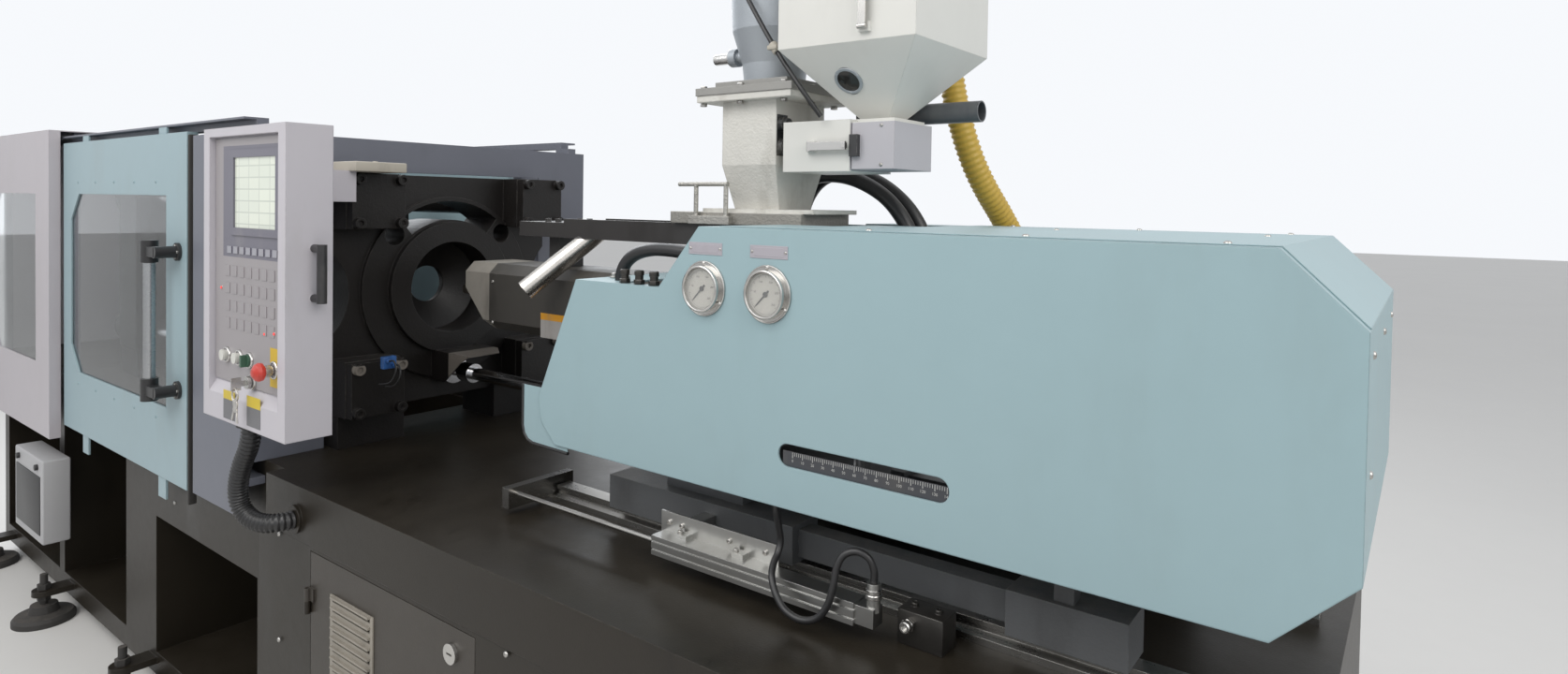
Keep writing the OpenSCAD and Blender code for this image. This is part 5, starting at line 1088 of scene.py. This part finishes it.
# Stroke scale behind the slot of the cover
strokeScale = {
    "low": (1426, 1132), "high": (1742, 1161.3), "face": -338.9, "thick": 1.5,
    "from": 1446, "to": 1726, "step": 4, "top": 1160.5, "shortMark": (6.0, 0.9), "longMark": (9.5, 1.2),
    "numbers": 1146.2, "numberHeight": 6.5, "print": 0.1,
}
bm, ticks = bmesh.new(), bmesh.new()
face, ink = strokeScale["face"], strokeScale["print"]
(x0, z0), (x1, z1) = strokeScale["low"], strokeScale["high"]
addBlock(bm, (x0, face, z0), (x1, face + strokeScale["thick"], z1), 0.4)
for i, x in enumerate(range(strokeScale["from"], strokeScale["to"] + 1, strokeScale["step"])):
    length, width = strokeScale["shortMark" if i % 5 else "longMark"]
    addMark(ticks, (x, face, strokeScale["top"]), 270, 0, length, width, ink)
    if i % 5 == 0:
        addNumber(ticks, 2 * i, (x, face, strokeScale["numbers"]), strokeScale["numberHeight"], ink)
newPiece("strokeScalePlate", bm, "carriage", scaleBlack)
newPiece("strokeScaleMarks", ticks, "carriage", markWhite)
print("stroke scale made")


# Sheet work of the injection cover
coverSheet = {
    "thick": 1.7, "edge": 320, "frontX": 1262, "openX": 1476, "openY": -118,
    "chamfer": ((2142, 1529), (2232, 1439)),
    "topScrews": ((1560, -298), (1820, -298), (2080, -298), (1721, 110), (2069, 110), (1560, 298), (1820, 298),
                  (2080, 298)),
    "endScrews": ((-262, 1404), (262, 1404), (-262, 1262), (0, 1404)), "screw": (5.2, 3.2),
}
bm = bmesh.new()
edge, openX, rise = coverSheet["edge"], coverSheet["openX"], coverSheet["thick"]
(x0, z0), (x1, z1) = coverSheet["chamfer"]
outline = [(openX, z0 + 0.1), (x0, z0 + 0.1), (x1 - 0.6, z1 + 0.8), (x1 + 0.6, z1 + 2.0), (x0 + 0.7, z0 + rise),
           (openX, z0 + rise)]
addPlate(bm, [(x, -edge, z) for x, z in outline], (0, 2 * edge, 0), 0.35)
addBlock(bm, (coverSheet["frontX"], -edge, z0 + 0.1), (openX + 0.4, coverSheet["openY"], z0 + rise), 0.35)
newPiece("coverTopSheet", bm, "carriage", coverBlue)
bm = bmesh.new()
for x, y in coverSheet["topScrews"]:
    addDomeScrew(bm, (x, y, z0 + rise), (0, 0, 1), *coverSheet["screw"])
for y, z in coverSheet["endScrews"]:
    addDomeScrew(bm, (x1, y, z), (1, 0, 0), *coverSheet["screw"])
newPiece("coverScrews", bm, "carriage", boltSteel, smooth=True)

# Inner flange at the cover's nose, with its rubber edge
noseFlange = {"left": 726, "right": 874, "low": 1054, "high": 1176, "y": -337.4, "thick": 1.6, "trim": 3.6}
x, z, y = noseFlange["left"], noseFlange["low"], noseFlange["y"]
corners = [(x, noseFlange["high"]), (x, z + 34), (x + 5, z + 17), (x + 17, z + 5), (x + 34, z),
           (noseFlange["right"], z - 2)]
bm = bmesh.new()
outline = corners + [(noseFlange["right"], noseFlange["high"])]
addPlate(bm, [(xa, y, za) for xa, za in outline], (0, noseFlange["thick"], 0), 0.3)
newPiece("noseFlangeSheet", bm, "carriage", coverBlue)
bm = bmesh.new()
for (xa, za), (xb, zb) in zip(corners, corners[1:]):
    addRod(bm, (xa, y + 0.8, za), (xb, y + 0.8, zb), noseFlange["trim"], 12)
newPiece("noseFlangeTrim", bm, "carriage", handleBlack, smooth=True)

# Bolts and capped ports on the ledge beside its hose
ledgeTrim = {
    "seat": 1412.6, "bolts": ((931, -268), (950, -252)), "ports": ((1028, -328), (1068, -328), (1108, -328)),
    "cap": [(0, 8), (9, 8), (9.6, 9.4), (17, 9.4), (19, 7.6), (19, 0)],
}
bm = bmesh.new()
seat = ledgeTrim["seat"]
for x, y in ledgeTrim["bolts"]:
    addRod(bm, (x, y, seat), (x, y, seat + 4.4), 8.5, 24, 0.5)
    addRod(bm, (x, y, seat + 3.4), (x, y, seat + 11.4), 6.0, 6, 0.6)
newPiece("ledgeBolts", bm, "carriage", boltSteel, smooth=True)
bm = bmesh.new()
for x, y in ledgeTrim["ports"]:
    addRod(bm, (x, y, seat), (x, y, seat + 9.4), 11, 6, 0.8)
    addTurned(bm, (x, y, seat + 8.4), (0, 0, 1), ledgeTrim["cap"], steps=20)
newPiece("ledgePorts", bm, "carriage", boltBlack, smooth=True)
print("cover dressed")


# Bare plate and screws of the barrel cover
shroudTrim = {
    "face": 90.0, "plate": ((462, 1221), (582, 1284)), "plateThick": 0.9, "band": 1267,
    "screws": ((256, 1240), (256, 1350), (640, 1236), (640, 1356), (1000, 1236), (1000, 1356)),
}
bm = bmesh.new()
(x0, z0), (x1, z1) = shroudTrim["plate"]
face = shroudTrim["face"]
addBlock(bm, (x0, -face - shroudTrim["plateThick"], z0), (x1, -face, z1), 0.4)
shroudPlate = makeFinish("shroudPlate", {
    **smallPlate, "colour": (0.36, 0.345, 0.33), "rough": 0.42, "smear": 0.5, "grease": (0.20, 0.18, 0.15),
    "smearScale": 16.0,
    "regions": [
        {"low": (450, -95, shroudTrim["band"]), "high": (600, -80, 1290), "colour": (0.62, 0.29, 0.02)},
    ],
})
newPiece("shroudPlate", bm, "carriage", shroudPlate)
bm = bmesh.new()
for x, z in shroudTrim["screws"]:
    for side in (-1, 1):
        addDomeScrew(bm, (x, side * face, z), (0, side, 0), 5.0, 3.0)
newPiece("shroudScrews", bm, "carriage", boltSteel, smooth=True)
print("barrel cover dressed")


# Operator panel: collars, lamps, plates and the keys in the switch
panelTrim = {
    "face": -664.0, "collars": ((71, 1206), (137, 1206), (190, 1206), (205, 1160)), "estop": (315, 1200),
    "collar": [(0.05, 18.5), (3.2, 18.5), (5.2, 17.2), (5.6, 15.4), (5.0, 14.4), (0.05, 14.4), (0.05, 18.5)],
    "estopCollar": [(0.9, 19.5), (4.4, 19.5), (6.0, 18.2), (6.0, 15.6), (0.9, 15.2), (0.9, 19.5)],
    "lamps": ((38, 1358), (265, 1272), (311, 1277)), "lamp": [(0, 3.4), (1.6, 3.2), (2.9, 2.1), (3.3, 0)],
    "lampCollar": [(0.05, 4.9), (0.9, 4.7), (1.0, 3.5), (0.05, 3.5), (0.05, 4.9)],
    "yellow": ((292, 1162), (347, 1246)), "yellowThick": 0.9,
    "labels": ((82, 1064, 143, 1129), (206, 1066, 273, 1133)), "labelFace": -676.0, "labelThick": 0.8,
    "labelBand": 1109,
}
collars, lamps = bmesh.new(), bmesh.new()
face = panelTrim["face"]
for x, z in panelTrim["collars"]:
    addTurned(collars, (x, face, z), towardOperator, panelTrim["collar"], steps=40)
x, z = panelTrim["estop"]
addTurned(collars, (x, face, z), towardOperator, panelTrim["estopCollar"], steps=40)
for x, z in panelTrim["lamps"]:
    addTurned(lamps, (x, face, z), towardOperator, panelTrim["lamp"], steps=16)
    addTurned(collars, (x, face, z), towardOperator, panelTrim["lampCollar"], steps=20)
newPiece("panelCollars", collars, "machine", latchSteel, smooth=True)
newPiece("panelLamps", lamps, "machine", lampRed, smooth=True)
bm = bmesh.new()
(x0, z0), (x1, z1) = panelTrim["yellow"]
addBlock(bm, (x0, face - panelTrim["yellowThick"], z0), (x1, face, z1), 0.35)
newPiece("estopPlate", bm, "machine", plateYellow)
labelPlate = makeFinish("labelPlate", {
    **smallPlate, "colour": (0.15, 0.15, 0.16), "rough": 0.42, "smear": 0.3, "grease": (0.10, 0.09, 0.08),
    "smearScale": 20.0,
    "regions": [
        {"low": (60, -690, panelTrim["labelBand"]), "high": (300, -670, 1140), "colour": (0.62, 0.47, 0.03)},
    ],
})
bm = bmesh.new()
face = panelTrim["labelFace"]
for x0, z0, x1, z1 in panelTrim["labels"]:
    addBlock(bm, (x0, face - panelTrim["labelThick"], z0), (x1, face, z1), 0.3)
newPiece("panelLabels", bm, "machine", labelPlate)

# Two keys on their split ring, hanging from the one in the switch
keyRing = {"bow": (205, -699, 1151), "radius": 14.5, "wire": 1.3, "keys": ((-24, 9), (14, -7))}
bm = bmesh.new()
bx, by, bz = keyRing["bow"]
steps = 28
for turn in range(2):
    shift = 1.7 * turn
    loop = [(bx + keyRing["radius"] * math.sin(math.tau * i / steps), by - shift,
             bz - keyRing["radius"] + keyRing["radius"] * math.cos(math.tau * i / steps)) for i in range(steps)]
    for i in range(steps):
        addRod(bm, loop[i], loop[(i + 1) % steps], keyRing["wire"], 8)
for lean, shift in keyRing["keys"]:
    hang = Vector((math.sin(math.radians(lean)), 0, -math.cos(math.radians(lean))))
    side = Vector((hang.z, 0, -hang.x))
    start = Vector((bx, by + shift * 0.12, bz - 2 * keyRing["radius"] + 2.5))
    bow = start + hang * 9
    addRod(bm, bow + Vector((0, -1.1, 0)), bow + Vector((0, 1.1, 0)), 11.5, 24, 0.3)
    for near, far, wide in ((18, 27, 5.5), (26, 50, 3.6)):
        corners = [start + hang * near - side * wide, start + hang * far - side * wide,
                   start + hang * far + side * wide, start + hang * near + side * wide]
        addPlate(bm, [(c.x, c.y - 1.0, c.z) for c in corners], (0, 2.0, 0), 0.2)
newPiece("keyRing", bm, "key", stainless, smooth=True)
print("operator panel dressed")


# Front door: seal on its closing edge, handle screws and window screws
doorTrim = {
    "seal": ((-531, -541, 690), (-522, -520, 1742)),
    "handles": (1010, 1408), "handleX": -590, "handleFace": -551,
    "handleScrews": ((-17, 0), (17, 0), (0, 17), (0, -17)),
    "glazing": (-1600, -676, 904, 1609), "glazingFace": -543.0, "across": 5,
}
bm = bmesh.new()
addBlock(bm, *doorTrim["seal"], 3.0, 3)
newPiece("doorSeal", bm, "front_door", padRubber, smooth=True)
bm = bmesh.new()
for z in doorTrim["handles"]:
    for dx, dz in doorTrim["handleScrews"]:
        addSocketScrew(bm, (doorTrim["handleX"] + dx, doorTrim["handleFace"], z + dz), towardOperator, 4.0, 4.0)
newPiece("doorHandleScrews", bm, "front_door", boltSteel, smooth=True)
bm = bmesh.new()
x0, x1, z0, z1 = doorTrim["glazing"]
for i in range(doorTrim["across"]):
    x = x0 + (x1 - x0) * (i + 0.5) / doorTrim["across"]
    for z in (z0, z1):
        addDomeScrew(bm, (x, doorTrim["glazingFace"], z), towardOperator, 4.6, 2.4)
newPiece("doorWindowScrews", bm, "front_door", doorBlue, smooth=True)
print("front door dressed")


# Screws of the bed's panels and beam
bedTrim = {
    "panelFace": -543.0, "beamFace": -500.0, "screw": (6.0, 3.6), "beamScrews": ((-749, 637), (-88, 636)),
    "panelScrews": ((51, 748), (53, 488), (960, 748), (960, 200), (1260, 748), (1500, 748), (1260, 200),
                    (1500, 200), (1780, 748), (2060, 748), (2060, 200)),
}
bm = bmesh.new()
for face, screws in (("panelFace", "panelScrews"), ("beamFace", "beamScrews")):
    for x, z in bedTrim[screws]:
        addDomeScrew(bm, (x, bedTrim[face], z), towardOperator, *bedTrim["screw"])
newPiece("bedScrews", bm, "machine", boltSteel, smooth=True)


# Stationary platen: cable duct on top and the ejector's air fitting
platenDuct = {
    "low": (-66, -385, 1638.2), "high": (98, -246, 1664), "screws": ((-40, -315), (12, -315), (64, -315)),
}
bm = bmesh.new()
addBlock(bm, platenDuct["low"], platenDuct["high"], 3.0, 3)
for x, y in platenDuct["screws"]:
    addRod(bm, (x, y, 1663.5), (x, y, 1667), 6.5, 20, 0.6)
newPiece("platenDuct", bm, "machine", ductCream, smooth=True)
airLine = {
    "low": (99.5, -318, 1126), "high": (116, -282, 1158), "ports": ((-308, 1148), (-292, 1136)), "tube": 2.4,
    "tubes": (
        [(126, -308, 1148), (150, -308, 1150), (166, -312, 1128), (150, -318, 1098), (102, -322, 1086)],
        [(126, -292, 1136), (146, -292, 1136), (158, -296, 1112), (140, -300, 1086), (102, -304, 1078)],
    ),
}
bm = bmesh.new()
addBlock(bm, airLine["low"], airLine["high"], 2.0)
for y, z in airLine["ports"]:
    addRod(bm, (115, y, z), (127, y, z), 5.0, 16, 0.6)
airBlock = makeFinish("airBlock", {
    "colour": (0.03, 0.12, 0.36), "rough": 0.4, "skin": 700.0, "bump": 0.1, "smear": 0.5,
    "grease": (0.03, 0.03, 0.035), "smearScale": 30.0, "edge": 0.0008,
})
newPiece("airBlock", bm, "machine", airBlock, smooth=True)


# Small tubes: round sections set along the route and bridged, with their ends closed
def addTube(bm, points, radius, step=0.006, sides=10):
    line, _ = smoothRoute(points, step)
    last = len(line) - 1
    side = (line[1] - line[0]).orthogonal().normalized()
    rings = []
    for i, spot in enumerate(line):
        along = (line[min(i + 1, last)] - line[max(i - 1, 0)]).normalized()
        side = (side - along * side.dot(along)).normalized()
        turn = Matrix((-along.cross(side), side, along)).transposed().to_4x4()
        ring = bmesh.ops.create_circle(
            bm, segments=sides, radius=radius / 1000, cap_ends=i in (0, last),
            matrix=Matrix.Translation(spot) @ turn,
        )["verts"]
        rings.append(inOrder(bm.edges, {e for v in ring for e in v.link_edges}))
    for first, second in zip(rings, rings[1:]):
        bmesh.ops.bridge_loops(bm, edges=first + second)
    bmesh.ops.recalc_face_normals(bm, faces=bm.faces[:])


bm = bmesh.new()
for points in airLine["tubes"]:
    addTube(bm, points, airLine["tube"])
newPiece("airTubes", bm, "machine", hoseBlack, smooth=True)
print("bed and platen dressed")


# Carriage sensor: plate and clamp screws, connector ring
sensorTrim = {
    "plateScrews": ((1142, 966), (1174, 966), (1290, 966), (1372, 966)), "face": -312.0,
    "clamps": ((1178, -321, 957), (1313, -321, 957)), "screw": (5.0, 4.6), "connector": (1600, -330, 959),
    "ring": [(0, 11.1), (0, 13.4), (6, 13.4), (7, 12.6), (14, 12.6), (15, 11.1), (0, 11.1)],
}
bm = bmesh.new()
for x, z in sensorTrim["plateScrews"]:
    addSocketScrew(bm, (x, sensorTrim["face"], z), towardOperator, *sensorTrim["screw"])
for foot in sensorTrim["clamps"]:
    addSocketScrew(bm, foot, (0, 0, 1), *sensorTrim["screw"])
newPiece("sensorScrews", bm, "carriage", boltSteel, smooth=True)
bm = bmesh.new()
addTurned(bm, sensorTrim["connector"], (0, 0, 1), sensorTrim["ring"], steps=24)
newPiece("sensorConnectorRing", bm, "carriage", latchSteel, smooth=True)

# Stop block on the deck, with the end switch's gland
stopBlock = {
    "low": (1626, -300, 885), "high": (1704, -252, 940), "screws": ((1644, -276), (1686, -276)),
    "gland": (1648, -300, 921), "cap": [(0, 9.5), (8, 9.5), (10, 8.0), (10, 5.2), (4, 5.0), (4, 0)],
}
bm, gland = bmesh.new(), bmesh.new()
addBlock(bm, stopBlock["low"], stopBlock["high"], 1.5)
for x, y in stopBlock["screws"]:
    addSocketScrew(bm, (x, y, stopBlock["high"][2]), (0, 0, 1), 6.5, 6.0)
x, y, z = stopBlock["gland"]
addRod(gland, (x, y, z), (x, y - 9, z), 11.0, 6, 0.8)
addTurned(gland, (x, y - 9, z), towardOperator, stopBlock["cap"], steps=24)
newPiece("stopBlock", bm, "machine", boltBlack, smooth=True)
newPiece("stopBlockGland", gland, "machine", latchSteel, smooth=True)
print("sensor dressed")


# Feed unit: bolts, sight window, motor cover's screws and stay cable
feedTrim = {
    "throatBolts": ((935, -72), (935, 72), (1085, -78), (1255, -72), (1255, 72), (1100, 78)), "flangeX": 1122,
    "flangeBolts": ((-108, -92), (0, -98), (108, -92), (-108, 92), (0, 98), (108, 92), (-112, 0), (112, 0)),
    "motorScrews": (  # seat and direction
        ((1373, -84, 1648), towardOperator), ((1373, -84, 1722), towardOperator),
        ((1454, -84, 1648), towardOperator), ((1454, -84, 1722), towardOperator),
        ((1460, -76, 1650), (1, 0, 0)), ((1460, 56, 1650), (1, 0, 0)),
        ((1460, -76, 1720), (1, 0, 0)), ((1460, 56, 1720), (1, 0, 0)),
    ),
    "stay": [(1330, -104, 1742), (1300, -122, 1790), (1231, -124, 1880), (1150, -112, 1990), (1092, -92, 2068)],
    "clamp": ((1219, -136, 1876), (1243, -112, 1885)), "sleeve": ((1238, -124, 1872), (1224, -124, 1889)),
}
bm = bmesh.new()
for x, y in feedTrim["throatBolts"]:
    addRod(bm, (x, y, 1536), (x, y, 1542), 8.0, 6, 0.7)
for dx, y in feedTrim["flangeBolts"]:
    x = feedTrim["flangeX"] + dx
    addRod(bm, (x, y, 1816), (x, y, 1823), 7.5, 6, 0.7)
    addRod(bm, (x, y, 1779), (x, y, 1786), 7.5, 6, 0.7)
newPiece("feedBolts", bm, "feeder", boltSteel, smooth=True)

sight = {
    "centre": (1386, -94.2, 1808), "normal": (0, -0.74, -0.673), "screwRing": 26.2,
    "rim": [(-0.6, 23.0), (-0.6, 29.5), (1.4, 29.5), (2.0, 28.8), (2.0, 23.4), (-0.6, 23.0)],
    "glass": [(-1.6, 0), (-1.6, 23.4), (0.6, 23.4), (0.9, 22.8), (0.9, 0)],
}
bm, glass = bmesh.new(), bmesh.new()
addTurned(bm, sight["centre"], sight["normal"], sight["rim"], steps=40)
normal = Vector(sight["normal"]).normalized()
across = normal.orthogonal().normalized() * sight["screwRing"]
for i in range(3):
    reach = Matrix.Rotation(math.tau * i / 3 + 0.5, 3, normal) @ across
    addDomeScrew(bm, Vector(sight["centre"]) + reach + normal * 1.9, sight["normal"], 2.4, 1.4)
addTurned(glass, sight["centre"], sight["normal"], sight["glass"], steps=40)
sightGlass = makeFinish("sightGlass", {
    "colour": (0.022, 0.021, 0.019), "rough": 0.12, "skin": 600.0, "bump": 0.03, "smear": 0.5,
    "grease": (0.05, 0.045, 0.04), "smearScale": 20.0, "dust": 0.3,
})
newPiece("sightRim", bm, "feeder", castAluminium, smooth=True)
newPiece("sightGlass", glass, "feeder", sightGlass, smooth=True)

bm = bmesh.new()
for foot, axis in feedTrim["motorScrews"]:
    addDomeScrew(bm, foot, axis, 3.6, 2.2)
newPiece("motorCoverScrews", bm, "feeder", boltSteel, smooth=True)

bm = bmesh.new()
addTube(bm, feedTrim["stay"], 5.0, 0.01, 12)
newPiece("stayCable", bm, "feeder", hoseBlack, smooth=True)
bm = bmesh.new()
addRod(bm, *feedTrim["sleeve"], 9.5, 20, 1.2)
addBlock(bm, *feedTrim["clamp"], 2.0)
newPiece("stayClamp", bm, "feeder", ductCream, smooth=True)
print("feed unit dressed")


# Lubrication unit under the left guard
lubeUnit = {
    "box": ((-2050, -602, 300), (-1690, -520, 604)), "bracket": ((-1908, -527, 380), (-1852, -500, 520)),
}
bm, dark = bmesh.new(), bmesh.new()
(x0, y0, z0), (x1, y1, z1) = lubeUnit["box"]
addBlock(bm, (x0, y0, z0), (x1, y1, z1), 6.0, 3)
addBlock(bm, *lubeUnit["bracket"], 1.5)
addBlock(dark, (x0 + 26, y0 - 3, z0 + 30), (x1 - 26, y0 + 1, z1 - 60), 2.0)
for x in (x0 + 60, x1 - 60):
    addRod(dark, (x, y0 - 10, z1 - 30), (x, y0 + 1, z1 - 30), 11, 24, 1.5)
newPiece("lubeBox", bm, "machine", rackGrey, smooth=True)
newPiece("lubeFront", dark, "machine", handleBlack, smooth=True)
print("lubrication unit made")


# Floor, light and world
studio = {
    "floorSize": 40,
    "floor": {"colour": (0.78, 0.77, 0.75), "rough": 0.6, "driftScale": 0.7, "drift": 0.02},
    "worldColour": (0.93, 0.95, 0.98),
    "worldLight": 0.55,
    "lamps": [  # place, aimed at, size, watts, colour
        ((0.4, -3.6, 4.6), (0.4, 0.0, 1.0), (5.0, 3.0), 150, (1.0, 0.98, 0.95)),
        ((-3.6, 2.6, 4.4), (-0.6, 0.0, 1.0), (4.0, 3.0), 120, (0.92, 0.96, 1.0)),
        ((5.2, -1.2, 3.8), (1.2, 0.0, 1.1), (3.0, 3.0), 90, (1.0, 0.97, 0.93)),
    ],
}


def makeStudio():
    bm = bmesh.new()
    bmesh.ops.create_grid(bm, x_segments=1, y_segments=1, size=studio["floorSize"])
    mesh = bpy.data.meshes.new("studioFloor")
    bm.to_mesh(mesh)
    bm.free()
    floor = bpy.data.objects.new("studioFloor", mesh)
    scene.collection.objects.link(floor)
    mesh.materials.append(newToned("floorPale", studio["floor"])[0])

    for index, (place, aim, size, watts, colour) in enumerate(studio["lamps"]):
        lamp = bpy.data.lights.new("softLamp%d" % index, "AREA")
        lamp.shape = "RECTANGLE"
        lamp.size, lamp.size_y = size
        lamp.energy, lamp.color = watts, colour
        holder = bpy.data.objects.new(lamp.name, lamp)
        scene.collection.objects.link(holder)
        aimed = (Vector(aim) - Vector(place)).to_track_quat("-Z", "Y")
        holder.matrix_world = Matrix.Translation(place) @ aimed.to_matrix().to_4x4()

    world = bpy.data.worlds.new("studioWorld")
    world.use_nodes = True
    scene.world = world
    tree = world.node_tree
    tree.nodes.clear()
    ray = tree.nodes.new("ShaderNodeLightPath")
    seen = addMath(tree, "ADD", ray.outputs["Is Camera Ray"], ray.outputs["Is Glossy Ray"])
    seen = addMath(tree, "ADD", seen, ray.outputs["Is Transmission Ray"], True)
    glow = addNode(tree, "ShaderNodeBackground", Color=studio["worldColour"])
    light = addMath(tree, "MULTIPLY", seen, 1 - studio["worldLight"])
    feed(tree, glow.inputs["Strength"], addMath(tree, "ADD", light, studio["worldLight"]))
    addNode(tree, "ShaderNodeOutputWorld", Surface=glow.outputs[0])
    scene.view_settings.view_transform = "Standard"


makeStudio()
print("studio set")
